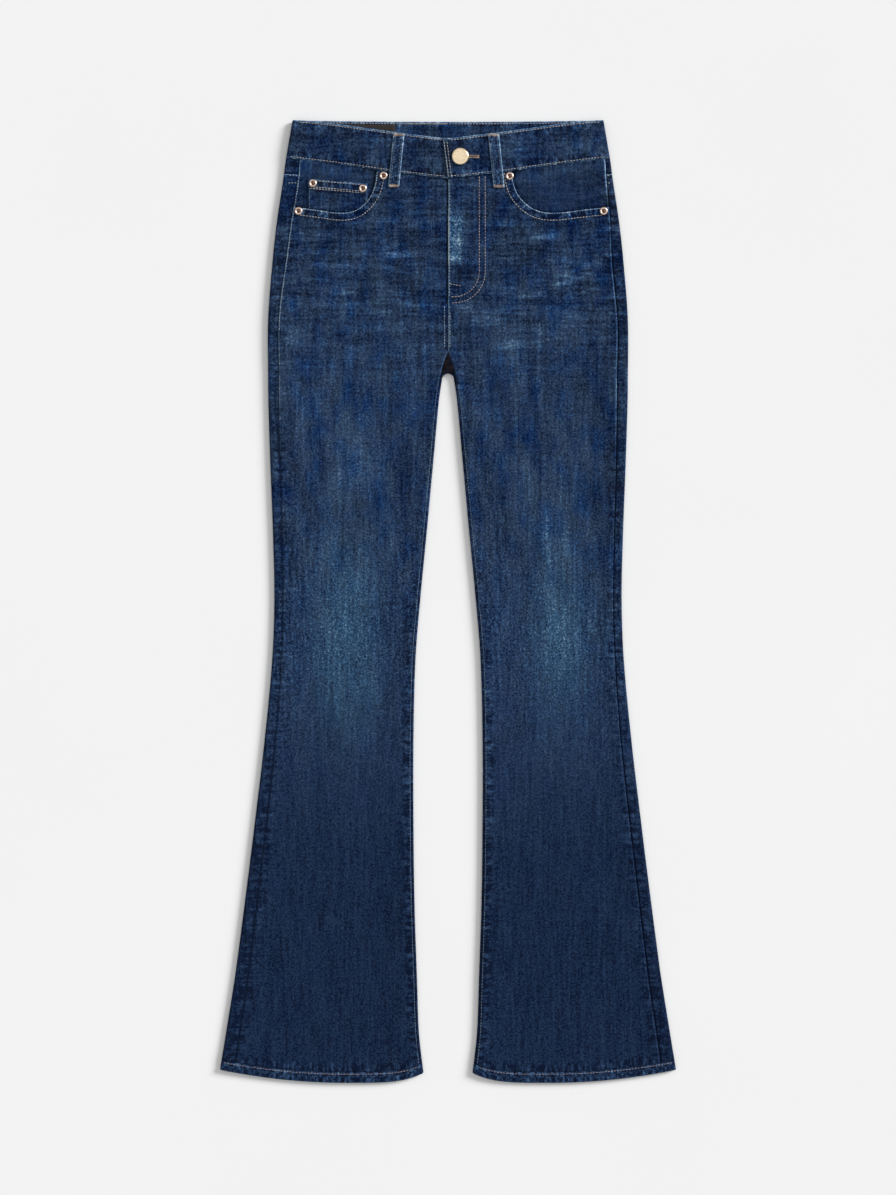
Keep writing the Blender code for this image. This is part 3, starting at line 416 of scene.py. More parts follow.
@dataclass(frozen=True)
class Band:
    """Sizes of the waistband and its two ends at the centre front."""

    wall: float = 0.0020
    face: float = 0.0069
    under_face: float = 0.0062
    over_face: float = 0.0085
    underlap_end: float = 0.040
    overlap_top_end: float = -0.0057
    overlap_low_end: float = 0.0000
    over_flat: float = 0.044
    over_sloped: float = 0.068
    under_flat: float = 0.012
    under_sloped: float = 0.036
    back_dip: float = 0.0015
    crown: float = 0.00035
    edge_dip: float = 0.0002
    loop_width: float = 0.0122
    loop_wall: float = 0.0011
    loop_below: float = 0.0160

    def outer_face(self, x: Array, side: Side) -> Array:
        """Height of the waistband's outer face on one side of the front."""
        if side is Side.LEFT:
            share = smooth((self.over_sloped - x) / (self.over_sloped - self.over_flat))
            return mix(self.face, self.over_face, share)
        share = smooth((self.under_sloped - x) / (self.under_sloped - self.under_flat))
        return mix(self.face, self.under_face, share)


LAID = Laid()
BAND = Band()


class NodeTree:
    """Adds nodes to one shader tree and links them."""

    def __init__(self, tree: bpy.types.NodeTree) -> None:
        """Starts with the emptied tree of a material, a world or a node group."""
        self.tree = tree
        tree.nodes.clear()

    def add(self, kind: str, values: dict | None = None, **settings: object) -> bpy.types.Node:
        """Adds a node.

        Args:
            kind: The node's type name, without "ShaderNode".
            values: Input values or sockets to link, by input name or number.
            **settings: The node's own properties.

        Returns:
            The new node.
        """
        node = self.tree.nodes.new(kind if kind.startswith("Node") else "ShaderNode" + kind)
        for name, value in settings.items():
            setattr(node, name, value)
        for key, value in (values or {}).items():
            if isinstance(value, bpy.types.NodeSocket):
                self.tree.links.new(value, node.inputs[key])
            else:
                node.inputs[key].default_value = value
        return node

    def math(self, operation: str, *values: object) -> bpy.types.NodeSocket:
        """Output of a Math node over these values or sockets."""
        return self.add("Math", dict(enumerate(values)), operation=operation).outputs[0]

    def scaled(self, value: object, factor: object, *plus: object) -> bpy.types.NodeSocket:
        """A value times a factor, plus another value where one is given."""
        return self.math("MULTIPLY_ADD" if plus else "MULTIPLY", value, factor, *plus)

    def noise(
        self, vector: object, scale: float, detail: float = 2.0, rough: float = 0.5
    ) -> bpy.types.NodeSocket:
        """Factor output of a noise texture."""
        values = {"Vector": vector, "Scale": scale, "Detail": detail, "Roughness": rough}
        return self.add("TexNoise", values).outputs[0]

    def stretched(self, vector: object, scale: tuple[float, float, float]) -> object:
        """A vector scaled by its axes, so that noise on it is drawn out."""
        return self.add("Mapping", {"Vector": vector, "Scale": scale}).outputs[0]

    def bumped(self, relief: object, strength: float, distance: float) -> object:
        """Normals of a surface raised by a relief."""
        values = {"Height": relief, "Strength": strength, "Distance": distance}
        return self.add("Bump", values).outputs[0]

    def ramp(self, factor: object, stops: Sequence[tuple[float, tuple[float, ...]]]) -> object:
        """Colour output of a ramp with these (place, colour) stops."""
        node = self.add("ValToRGB", {"Fac": factor})
        elements = node.color_ramp.elements
        while len(elements) < len(stops):
            elements.new(0.5)
        for element, (place, colour) in zip(elements, stops):
            element.position = place
            element.color = (*colour, 1.0)
        return node.outputs["Color"]


class Shader(NodeTree):
    """A material's nodes, from the place on the piece to its surface."""

    def __init__(self, name: str) -> None:
        """Starts a material of this name."""
        self.made = bpy.data.materials.new(name)
        self.made.use_nodes = True
        super().__init__(self.made.node_tree)
        self.place = self.add("TexCoord").outputs["Object"]

    def surface(self, values: dict) -> Material:
        """Ends the material with a Principled shader of these values."""
        shader = self.add("BsdfPrincipled", values)
        self.add("OutputMaterial", {0: shader.outputs[0]})
        return self.made


def linear(red: int, green: int, blue: int, gain: float = 1.0) -> tuple[float, float, float]:
    """Linear colour of a display colour given in 0 to 255."""

    def channel(value: int) -> float:
        """Linear value of one channel."""
        share = value / 255
        return gain * (share / 12.92 if share <= 0.04045 else ((share + 0.055) / 1.055) ** 2.4)

    return channel(red), channel(green), channel(blue)


def shader_group(
    name: str, inputs: Sequence[str], outputs: Sequence[str]
) -> tuple[NodeTree, object]:
    """A new node group with named sockets, all plain values but for a place.

    Args:
        name: The group's name.
        inputs: Names of its inputs.
        outputs: Names of its outputs.

    Returns:
        Its node tree and the sockets that give its inputs.
    """
    nodes = NodeTree(bpy.data.node_groups.new(name, "ShaderNodeTree"))
    for in_out, sockets in (("INPUT", inputs), ("OUTPUT", outputs)):
        for socket in sockets:
            kind = "NodeSocketVector" if socket == "Place" else "NodeSocketFloat"
            nodes.tree.interface.new_socket(socket, in_out=in_out, socket_type=kind)
    return nodes, nodes.add("NodeGroupInput").outputs


class DrawnOut(NamedTuple):
    """Noise about 0 that is drawn out: its turns in a metre of cloth, detail and strength."""

    across: float
    up: float
    detail: float
    strength: float
    rough: float = 0.5

    def factor(self, nodes: NodeTree, place: object) -> object:
        """The noise at a place, without its strength."""
        stretched = nodes.stretched(place, (self.across, self.up, THROUGH_TURNS))
        return nodes.math("SUBTRACT", nodes.noise(stretched, 1.0, self.detail, self.rough), 0.5)


THROUGH_TURNS = 60.0
GRAIN = DrawnOut(520, 520, 2.0, 1.20, 0.65)
YARNS = (DrawnOut(400, 260, 1.0, 0.30), DrawnOut(340, 24, 2.0, 0.46))
SLUBS = (DrawnOut(34, 300, 3.0, 0.62), DrawnOut(120, 60, 3.0, 0.26), DrawnOut(11, 75, 3.0, 0.50))
STREAKS = (DrawnOut(115, 15, 3.0, 0.36), DrawnOut(26, 11, 2.0, 0.50))
BLUE_PLACES = DrawnOut(58, 30, 3.0, 1.0, 0.6)
SHADES = (
    (0.00, (12, 23, 44)), (0.05, (20, 35, 60)), (0.10, (26, 42, 67)),
    (0.20, (33, 51, 77)), (0.30, (41, 60, 88)), (0.45, (52, 77, 109)),
    (0.60, (68, 98, 131)), (0.78, (108, 138, 164)), (1.00, (180, 198, 210)),
)


@dataclass(frozen=True)
class ClothGroups:
    """The node groups that all the denim shares."""

    twill_pitch: float = 0.0011
    twill_slope: float = 0.62
    twill_tone: float = 0.020
    twill_height: float = 0.35
    grain_height: float = 1.6
    wear_turns: float = 120.0
    pucker_turns: float = 210.0
    pucker_turns_out: float = 70.0
    pucker_reach: float = 0.0095
    pucker_tone: float = 1.9
    seam_shade: float = -0.035
    edge_middle: float = 0.0004
    edge_half: float = 0.0010
    most_wear_and_shade: float = 0.82

    def weave(self) -> bpy.types.NodeTree:
        """Group for yarn: fine tone and height of the twill, its slubs and its blotches."""
        inputs = ("Place", "Slub", "Streak", "Grain")
        nodes, given = shader_group("denim_weave", inputs, ("Tone", "Hue", "Height"))
        place = given["Place"]
        axes = nodes.add("SeparateXYZ", {"Vector": place}).outputs
        diagonal = nodes.scaled(axes[1], self.twill_slope, axes[0])
        twill = nodes.math("SINE", nodes.scaled(diagonal, math.tau / self.twill_pitch))

        def summed(rows: Sequence[DrawnOut], total: object = 0.0) -> object:
            """Noises of these rows, each by its strength, on top of a first value."""
            for row in rows:
                total = nodes.scaled(row.factor(nodes, place), row.strength, total)
            return total

        grain = GRAIN.factor(nodes, place)
        fine = summed(YARNS, nodes.scaled(grain, GRAIN.strength))
        fine = nodes.scaled(twill, self.twill_tone, fine)
        tone = nodes.scaled(fine, given["Grain"])
        tone = nodes.scaled(summed(SLUBS), given["Slub"], tone)
        tone = nodes.scaled(summed(STREAKS), given["Streak"], tone)
        busy = nodes.math("MAXIMUM", given["Slub"], given["Streak"])
        blue = nodes.scaled(BLUE_PLACES.factor(nodes, place), busy)
        height = nodes.scaled(twill, self.twill_height, nodes.scaled(grain, self.grain_height))
        nodes.add("NodeGroupOutput", {"Tone": tone, "Hue": blue, "Height": height})
        return nodes.tree

    def seams(self) -> bpy.types.NodeTree:
        """Group for seams: a pale rubbed edge where its edge input is above 0 and a painted shadow
        line where it is below 0, and puckers that run out from the seam.
        """
        inputs = ("Away", "Along", "Wear_And_Shade", "Pucker")
        nodes, given = shader_group("denim_seams", inputs, ("Edge", "Tone", "Height"))
        away, along, wear_and_shade = given["Away"], given["Along"], given["Wear_And_Shade"]
        line = nodes.add("CombineXYZ", {0: nodes.scaled(along, self.wear_turns), 1: 0.37})
        turns = {
            0: nodes.scaled(along, self.pucker_turns),
            1: nodes.scaled(away, self.pucker_turns_out),
        }
        ladder = nodes.noise(nodes.add("CombineXYZ", turns).outputs[0], 1.0, 2.0, 0.6)
        reach = nodes.math("DIVIDE", away, self.pucker_reach)
        reach = nodes.scaled(nodes.scaled(reach, reach), nodes.scaled(reach, reach))
        near = nodes.scaled(nodes.math("EXPONENT", nodes.scaled(reach, -1.0)), given["Pucker"])
        puckers = nodes.scaled(nodes.math("SUBTRACT", ladder, 0.5), near)
        slim = nodes.math("DIVIDE", nodes.math("SUBTRACT", away, self.edge_middle), self.edge_half)
        edge = nodes.math("EXPONENT", nodes.scaled(nodes.scaled(slim, slim), -1.0))
        steady = nodes.scaled(nodes.math("MAXIMUM", wear_and_shade, 1.0), 2.0, -2.45)
        patchy = nodes.scaled(nodes.noise(line.outputs[0], 1.0, 3.0, 0.7), 2.4, steady)
        strength = nodes.math("MINIMUM", wear_and_shade, self.most_wear_and_shade)
        pale = nodes.scaled(nodes.add("Clamp", {0: patchy}).outputs[0], strength)
        # The pale rubbed edge, plus a painted shadow line where the seam value is below 0.
        pale_and_dark = nodes.math("ADD", nodes.math("MAXIMUM", pale, 0.0), nodes.math("MINIMUM", wear_and_shade, 0.0))
        tone = nodes.scaled(puckers, self.pucker_tone, nodes.scaled(near, self.seam_shade))
        edge = nodes.scaled(edge, pale_and_dark)
        nodes.add("NodeGroupOutput", {"Edge": edge, "Tone": tone, "Height": puckers})
        return nodes.tree


@dataclass(frozen=True)
class DenimFinish:
    """Washed indigo denim. Its washing, seams and busy places come from the cloth's attributes,
    which also carry painted shade in shadowed places and painted shadow lines beside some seams.
    """

    name: str = "washed_denim"
    level: float = 0.0
    gain: float = 0.92
    grain: float = 1.0
    calm_edges: float = -0.8
    edge_wear_and_shade: float = 0.75
    hue: float = 0.503
    hue_swing: float = 0.045
    teal_turn: float = -0.011
    richness: float = 1.02
    richness_swing: float = 0.8
    pucker_height: float = 8.0

    def material(self, weave: bpy.types.NodeTree, seams: bpy.types.NodeTree) -> Material:
        """Builds the material.

        Args:
            weave: The group for yarn.
            seams: The group for seams.

        Returns:
            The material.
        """
        nodes = Shader(self.name)

        def read(*names: str) -> dict[str, bpy.types.NodeSocket]:
            """Attributes of the cloth, by the names of a group's inputs."""
            return {
                name.title(): nodes.add("Attribute", attribute_name=name).outputs["Fac"]
                for name in names
            }

        yarn = {"Place": nodes.place, **read("slub", "streak", "grain")}
        cloth = nodes.add("Group", yarn, node_tree=weave).outputs
        near_seam = read("away", "along", "wear_and_shade", "pucker")
        seam = nodes.add("Group", near_seam, node_tree=seams).outputs
        washed = read("wash", "teal")
        calm = nodes.scaled(seam["Edge"], self.calm_edges, self.grain)
        tone = nodes.scaled(cloth["Tone"], calm, washed["Wash"])
        tone = nodes.math("ADD", tone, seam["Tone"])
        # Seam edges: pale where rubbed, and painted shadow lines where a seam's value is below 0.
        tone = nodes.scaled(seam["Edge"], self.edge_wear_and_shade, tone)
        tone = nodes.math("ADD", tone, self.level)
        colour = nodes.ramp(tone, [(place, linear(*shade, self.gain)) for place, shade in SHADES])
        hue = nodes.scaled(cloth["Hue"], self.hue_swing, self.hue)
        hue = nodes.scaled(washed["Teal"], self.teal_turn, hue)
        rich = nodes.math("MAXIMUM", cloth["Hue"], -0.08)
        rich = nodes.scaled(rich, self.richness_swing, self.richness)
        tinted = nodes.add("HueSaturation", {"Hue": hue, "Saturation": rich, "Color": colour})
        relief = nodes.scaled(seam["Height"], self.pucker_height, cloth["Height"])
        return nodes.surface({
            "Base Color": tinted.outputs[0],
            "Roughness": 0.92,
            "Specular IOR Level": 0.03,
            "Sheen Weight": 0.02,
            "Sheen Roughness": 0.5,
            "Normal": nodes.bumped(relief, 0.55, 0.00028),
        })


@dataclass(frozen=True)
class ThreadFinish:
    """Sewing thread: its colour and how unevenly it has faded."""

    name: str
    colour: tuple[float, float, float]
    faded: tuple[float, float, float]
    shine: float = 0.5

    def material(self) -> Material:
        """Builds the material."""
        nodes = Shader(f"{self.name}_thread")
        patches = nodes.noise(nodes.place, 160.0, 2.0)
        strands = nodes.noise(nodes.place, 2400.0, 1.0)
        return nodes.surface({
            "Base Color": nodes.ramp(patches, ((0.35, self.colour), (0.65, self.faded))),
            "Roughness": 0.6,
            "Specular IOR Level": self.shine,
            "Sheen Weight": 0.4 * self.shine,
            "Normal": nodes.bumped(strands, 0.4, 0.0001),
        })


@dataclass(frozen=True)
class MetalFinish:
    """Plated metal with fine scratches and dulled places."""

    name: str
    colour: tuple[float, float, float]
    dull: tuple[float, float, float]
    roughness: float = 0.28
    deep: tuple[float, float, float] = (0.16, 0.09, 0.06)

    def material(self) -> Material:
        """Builds the material."""
        nodes = Shader(self.name)
        patches = nodes.noise(nodes.place, 420.0, 4.0, 0.6)
        scratches = nodes.noise(nodes.stretched(nodes.place, (3200, 260, 400)), 1.0, 2.0)
        hollow = nodes.add("Attribute", attribute_name="hollow").outputs["Fac"]
        pale_and_dark = nodes.scaled(hollow, -0.9, patches)
        tones = ((0.0, self.deep), (0.30, self.dull), (0.60, self.colour))
        return nodes.surface({
            "Base Color": nodes.ramp(pale_and_dark, tones),
            "Metallic": 1.0,
            "Roughness": nodes.scaled(patches, 0.25, self.roughness - 0.10),
            "Normal": nodes.bumped(scratches, 0.15, 0.00005),
        })


@dataclass(frozen=True)
class WovenFinish:
    """Plain woven tape or label cloth in one dark colour with its ribs."""

    name: str
    colour: tuple[float, float, float]
    light: tuple[float, float, float]

    def material(self) -> Material:
        """Builds the material."""
        nodes = Shader(self.name)
        ribs = nodes.noise(nodes.stretched(nodes.place, (1500, 300, 300)), 1.0, 2.0)
        return nodes.surface({
            "Base Color": nodes.ramp(ribs, ((0.3, self.colour), (0.8, self.light))),
            "Roughness": 0.85,
            "Normal": nodes.bumped(ribs, 0.4, 0.0002),
        })


THREADS = (
    ThreadFinish("beige", linear(126, 124, 124), linear(192, 188, 184)),
    ThreadFinish("rust", linear(122, 110, 116), linear(178, 164, 162)),
    ThreadFinish("brown", linear(122, 98, 84), linear(190, 168, 146)),
    ThreadFinish("pale", linear(84, 104, 126), linear(160, 178, 192)),
    ThreadFinish("grey", linear(44, 62, 84), linear(104, 124, 142)),
    # The dark thread sews only the painted shade between the legs.
    ThreadFinish("dark", linear(10, 8, 9), linear(34, 26, 26), shine=0.05),
)


class Wardrobe:
    """All the finishes, built once."""

    def __init__(self) -> None:
        """Builds each finish."""
        groups = ClothGroups()
        weave, seams = groups.weave(), groups.seams()
        self.denim = DenimFinish().material(weave, seams)
        self.denim_inside = DenimFinish("denim_inside", level=0.02).material(weave, seams)
        self.label = WovenFinish("label_cloth", linear(18, 15, 15), linear(40, 33, 30)).material()
        self.threads = {thread.name: thread.material() for thread in THREADS}
        self.brass = MetalFinish("pale_brass", (0.88, 0.74, 0.53), (0.70, 0.54, 0.34)).material()
        self.copper = MetalFinish("copper", (0.80, 0.64, 0.54), (0.50, 0.36, 0.30), 0.34).material()


def placed(x: Array, height: Array, z: Array, side: Side = Side.LEFT) -> Array:
    """Points of the garment in the frame's axes, as an array with a last axis of 3."""
    x, height, z = np.broadcast_arrays(x, height, z)
    return np.stack([side.value * x, height - LAID.length / 2, z], axis=-1)


class PalePlace(NamedTuple):
    """A soft pale place of the washing: its middle, half sizes and strength."""

    x: float
    height: float
    half_width: float
    half_length: float
    strength: float

    def shape(self, x: Array, height: Array) -> Array:
        """1 in its middle, falling evenly to all sides."""
        across, along = (x - self.x) / self.half_width, (height - self.height) / self.half_length
        return bell(np.hypot(across, along))


KNEE_ROWS = 3  # the first rows below, which are a little greener
PALE_PLACES = tuple(PalePlace(*row) for row in (
    (-0.1140, 0.5080, 0.040, 0.100, 0.175),
    (-0.1080, 0.4300, 0.030, 0.060, 0.060),
    (0.1250, 0.4950, 0.036, 0.095, 0.190),
    (-0.1180, 0.6600, 0.048, 0.090, 0.030),
    (0.1160, 0.6600, 0.050, 0.110, 0.045),
    (-0.1750, 0.6600, 0.016, 0.120, -0.050),
    (-0.0500, 0.6900, 0.018, 0.110, -0.040),
    (0.0560, 0.7200, 0.018, 0.100, -0.035),
    (0.1780, 0.7000, 0.016, 0.120, -0.040),
    (-0.1400, 0.7400, 0.020, 0.050, 0.050),
    (-0.0800, 0.7700, 0.022, 0.030, 0.040),
    (0.1450, 0.7600, 0.020, 0.040, 0.050),
    (-0.1500, 0.8000, 0.018, 0.030, -0.050),
    (0.0700, 0.8000, 0.025, 0.020, 0.040),
    (-0.1050, 0.8350, 0.055, 0.060, 0.030),
    (0.1100, 0.8450, 0.070, 0.060, 0.045),
    (0.1250, 0.9250, 0.040, 0.020, 0.030),
))
BAND_PATCHES = tuple(PalePlace(*row) for row in (
    (-0.166, 1.021, 0.012, 0.010, 0.11),
    (-0.128, 1.028, 0.020, 0.007, -0.08),
    (-0.083, 1.014, 0.013, 0.008, 0.12),
    (-0.030, 1.014, 0.016, 0.008, 0.09),
    (-0.022, 1.030, 0.014, 0.008, -0.08),
    (0.010, 1.004, 0.014, 0.007, 0.09),
    (0.036, 1.030, 0.010, 0.012, -0.08),
    (0.070, 1.030, 0.020, 0.008, 0.09),
    (0.110, 1.024, 0.022, 0.008, -0.08),
    (0.145, 1.030, 0.020, 0.009, 0.11),
))
BASE_WASH = Curve((
    (0.000, 0.095), (0.200, 0.098), (0.280, 0.125), (0.360, 0.185), (0.430, 0.215), (0.520, 0.220),
    (0.620, 0.230), (0.700, 0.240), (0.780, 0.230), (0.860, 0.212), (0.940, 0.180), (1.059, 0.215),
))
SLUB_BY_HEIGHT = Curve(((0.000, 0.00), (0.700, 0.12), (0.790, 0.55), (0.860, 1.00), (1.059, 0.90)))
STREAK_BY_HEIGHT = Curve((
    (0.000, 0.12), (0.300, 0.15), (0.400, 0.25), (0.500, 0.32), (0.600, 0.80), (0.760, 1.00),
    (0.840, 0.55), (1.059, 0.25),
))
GRAIN_BY_HEIGHT = Curve((
    (0.000, 0.64), (0.300, 0.67), (0.400, 0.90), (0.480, 1.15), (0.560, 1.10), (0.640, 1.00),
    (1.059, 1.00),
))
WHISKERS = tuple(Stroke(*row) for row in (
    (-0.078, 0.911, -0.022, 0.913, 0.0026, 0.22),
    (-0.070, 0.920, -0.038, 0.921, 0.0022, 0.12),
    (-0.135, 0.870, -0.094, 0.872, 0.0028, 0.20),
    (-0.084, 0.872, -0.028, 0.876, 0.0024, 0.14),
    (-0.172, 0.925, -0.118, 0.908, 0.0034, 0.12),
    (-0.156, 0.905, -0.100, 0.896, 0.0030, 0.10),
    (-0.066, 0.941, -0.024, 0.944, 0.0026, 0.10),
    (-0.062, 0.858, -0.020, 0.854, 0.0030, 0.12),
    (-0.150, 0.850, -0.090, 0.846, 0.0040, 0.10),
    (-0.045, 0.895, -0.006, 0.896, 0.0022, 0.10),
    (0.046, 0.944, 0.086, 0.947, 0.0028, 0.20),
    (0.080, 0.928, 0.142, 0.938, 0.0034, 0.15),
    (0.100, 0.872, 0.178, 0.902, 0.0026, 0.24),
    (0.112, 0.884, 0.180, 0.912, 0.0024, 0.20),
    (0.120, 0.862, 0.176, 0.880, 0.0024, 0.16),
    (0.062, 0.862, 0.118, 0.871, 0.0026, 0.16),
    (0.100, 0.850, 0.170, 0.862, 0.0032, 0.14),
    (0.048, 0.905, 0.084, 0.909, 0.0022, 0.12),
    (0.016, 0.840, 0.070, 0.846, 0.0030, 0.12),
    (0.040, 0.812, 0.120, 0.816, 0.0034, 0.14),
    (0.105, 0.880, 0.108, 0.640, 0.0020, 0.14),
    (0.107, 0.740, 0.120, 0.500, 0.0020, 0.15),
    (0.118, 0.560, 0.126, 0.400, 0.0022, 0.08),
    (-0.096, 0.760, -0.092, 0.650, 0.0024, 0.08),
    (-0.118, 0.700, -0.112, 0.560, 0.0030, 0.06),
    (0.006, 0.895, 0.025, 0.889, 0.0024, -0.20),
    (0.000, 0.880, 0.015, 0.8755, 0.0022, -0.22),
    (0.004, 0.883, 0.022, 0.902, 0.0022, -0.12),
))
WHISKER_SLUB = 4.0  # how much more the yarns show in the pale strokes
FAR_FROM_SEAMS = 0.05


def wash_level(x: Array, height: Array) -> Array:
    """How far the indigo is washed out, about 0.1 where deep and 0.45 at the knees, x signed."""
    return BASE_WASH(height) + sum(row.strength * row.shape(x, height) for row in PALE_PLACES)


def whisker_level(x: Array, height: Array) -> Array:
    """How strongly the pale strokes of the washing show at places of the cloth, x signed."""
    return sum(row.strength * row.shape(x, height) for row in WHISKERS)


def made_object(
    name: str, bm: bmesh.types.BMesh, finish: Material, slot: Slot | None = None
) -> Made:
    """Makes an object of a bmesh.

    Args:
        name: The object's name.
        bm: Its faces, freed here.
        finish: Its material.
        slot: Any slot attaches it to the garment's root body; None leaves it on the stage.

    Returns:
        The new object.
    """
    mesh = bpy.data.meshes.new(name)
    bm.to_mesh(mesh)
    bm.free()
    mesh.shade_smooth()
    mesh.materials.append(finish)
    obj = bpy.data.objects.new(name, mesh)
    bpy.context.scene.collection.objects.link(obj)
    if slot is not None:
        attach(obj, "root")
    return obj


@dataclass
class Cloth:
    """One sheet of cloth as a fine grid of points with what its finish reads.

    Points have the shape (rows, columns, 3), with NaN where there is no cloth. Marks are
    attributes by name, each of the grid's shape.
    """

    node: str
    points: Array
    marks: dict[str, Array]
    finish: Material
    faces_up: bool
    thickness: float = LAID.wall
    slot: Slot = Slot.DENIM
    held: str = "laid"
    closed: bool = False
    rests_on: tuple[str, ...] = ()

    def flat_size(self) -> tuple[float, float]:
        """Largest width and length of the cut, measured along the grid."""
        across = np.nansum(np.linalg.norm(np.diff(self.points, axis=1), axis=-1), axis=1)
        along = np.nansum(np.linalg.norm(np.diff(self.points, axis=0), axis=-1), axis=0)
        return float(across.max()), float(along.max())

    def build(self) -> Made:
        """Returns:
            The finished object.
        """
        rows, columns = self.points.shape[:2]
        bm = bmesh.new()
        bmesh.ops.create_grid(bm, x_segments=columns - 1, y_segments=rows - 1, size=1.0)
        layers = {name: bm.verts.layers.float.new(name) for name in self.marks}
        unused = []
        for vert in bm.verts:
            i = round((vert.co.x + 1) / 2 * (columns - 1))
            j = round((vert.co.y + 1) / 2 * (rows - 1))
            point = self.points[j, i]
            if np.isnan(point[0]):
                unused.append(vert)
                continue
            vert.co = point
            for name, layer in layers.items():
                vert[layer] = float(self.marks[name][j, i])
        bmesh.ops.delete(bm, geom=unused, context="VERTS")
        if self.closed:
            bmesh.ops.remove_doubles(bm, verts=bm.verts[:], dist=1e-6)
        if not self.faces_up:
            bmesh.ops.reverse_faces(bm, faces=bm.faces[:])
        area = sum(face.calc_area() for face in bm.faces)
        obj = made_object(f"shell_{self.node}", bm, self.finish, self.slot)
        wall = obj.modifiers.new("wall", "SOLIDIFY")
        wall.thickness = self.thickness
        wall.offset = -1.0
        wall.use_even_offset = True
        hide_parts(self.node)
        width, long = self.flat_size()
        list(self.rests_on)
        points = rows * columns
        log.info("%s: %d points, cut %.3f x %.3f m, %.4f m2", obj.name, points, width, long, area)
        return obj


def nearest_seam(seams: Sequence[tuple], shape: tuple[int, ...]) -> dict[str, Array]:
    """Picks the nearest of several seams at each point.

    Args:
        seams: Per seam its distance, the way along it, its edge (pale above 0, painted shadow below
            0) and its pucker.
        shape: The grid's shape.

    Returns:
        The same four values of the nearest seam, by attribute name.
    """
    stacks = [np.stack([np.broadcast_to(seam[i], shape) for seam in seams]) for i in range(4)]
    nearest = np.argmin(stacks[0], axis=0)[None]
    picked = (np.take_along_axis(stack, nearest, axis=0)[0] for stack in stacks)
    return dict(zip(("away", "along", "wear_and_shade", "pucker"), picked))


def marks_of(x: Array, height: Array, seams: Sequence[tuple]) -> dict[str, Array]:
    """What the denim's finish reads at each point of a grid.

    Args:
        x: Signed distances from the centre line.
        height: Heights.
        seams: Per seam its distance, the way along it, its edge (pale above 0, painted shadow below
            0) and its pucker.

    Returns:
        The marks by attribute name.
    """
    shape = np.broadcast(x, height).shape
    strokes = whisker_level(x, height)
    levels = {
        "teal": np.clip(sum(row.shape(x, height) for row in PALE_PLACES[:KNEE_ROWS]), 0.0, 1.0),
        "wash": wash_level(x, height) + strokes,
        "slub": SLUB_BY_HEIGHT(height) + WHISKER_SLUB * np.maximum(strokes, 0.0),
        "streak": STREAK_BY_HEIGHT(height),
        "grain": GRAIN_BY_HEIGHT(height),
        **nearest_seam(seams, shape),
    }
    levels["away"] = np.clip(levels["away"], 0.0, FAR_FROM_SEAMS)
    return {name: level + np.zeros(shape) for name, level in levels.items()}


FOLD_ANGLES = (90, 60, 30, 0, -30, -60, -90)


def fine_steps(corners: Sequence[float], step: float) -> Array:
    """Rising or falling values through the corners with steps of about this size."""
    values = [corners[0]]
    for start, end in zip(corners, corners[1:]):
        count = max(1, round(abs(end - start) / step))
        values.extend(start + (end - start) * (k + 1) / count for k in range(count))
    return np.array(values)


def fold_arc(
    edge_x: Array, edge_height: Array, inward: Array, low: Array, high: Array, degrees: Array
) -> tuple[Array, Array, Array]:
    """Points round a fold, from its lower to its upper face.

    Args:
        edge_x: Distance of the fold's outermost line from the centre line.
        edge_height: Its height.
        inward: Unit direction into the cloth, with a last axis of 2.
        low: Outer face below.
        high: Outer face above.
        degrees: Angles round the fold, -90 below to 90 above.

    Returns:
        x, height and z of the points, with the angles along the last axis.
    """
    turn = np.radians(degrees)
    radius = ((high - low) / 2)[..., None]
    reach = radius * (1 - np.cos(turn))
    x = edge_x[..., None] + inward[..., 0:1] * reach
    height = edge_height[..., None] + inward[..., 1:2] * reach
    return x, height, low[..., None] + radius * (1 + np.sin(turn))


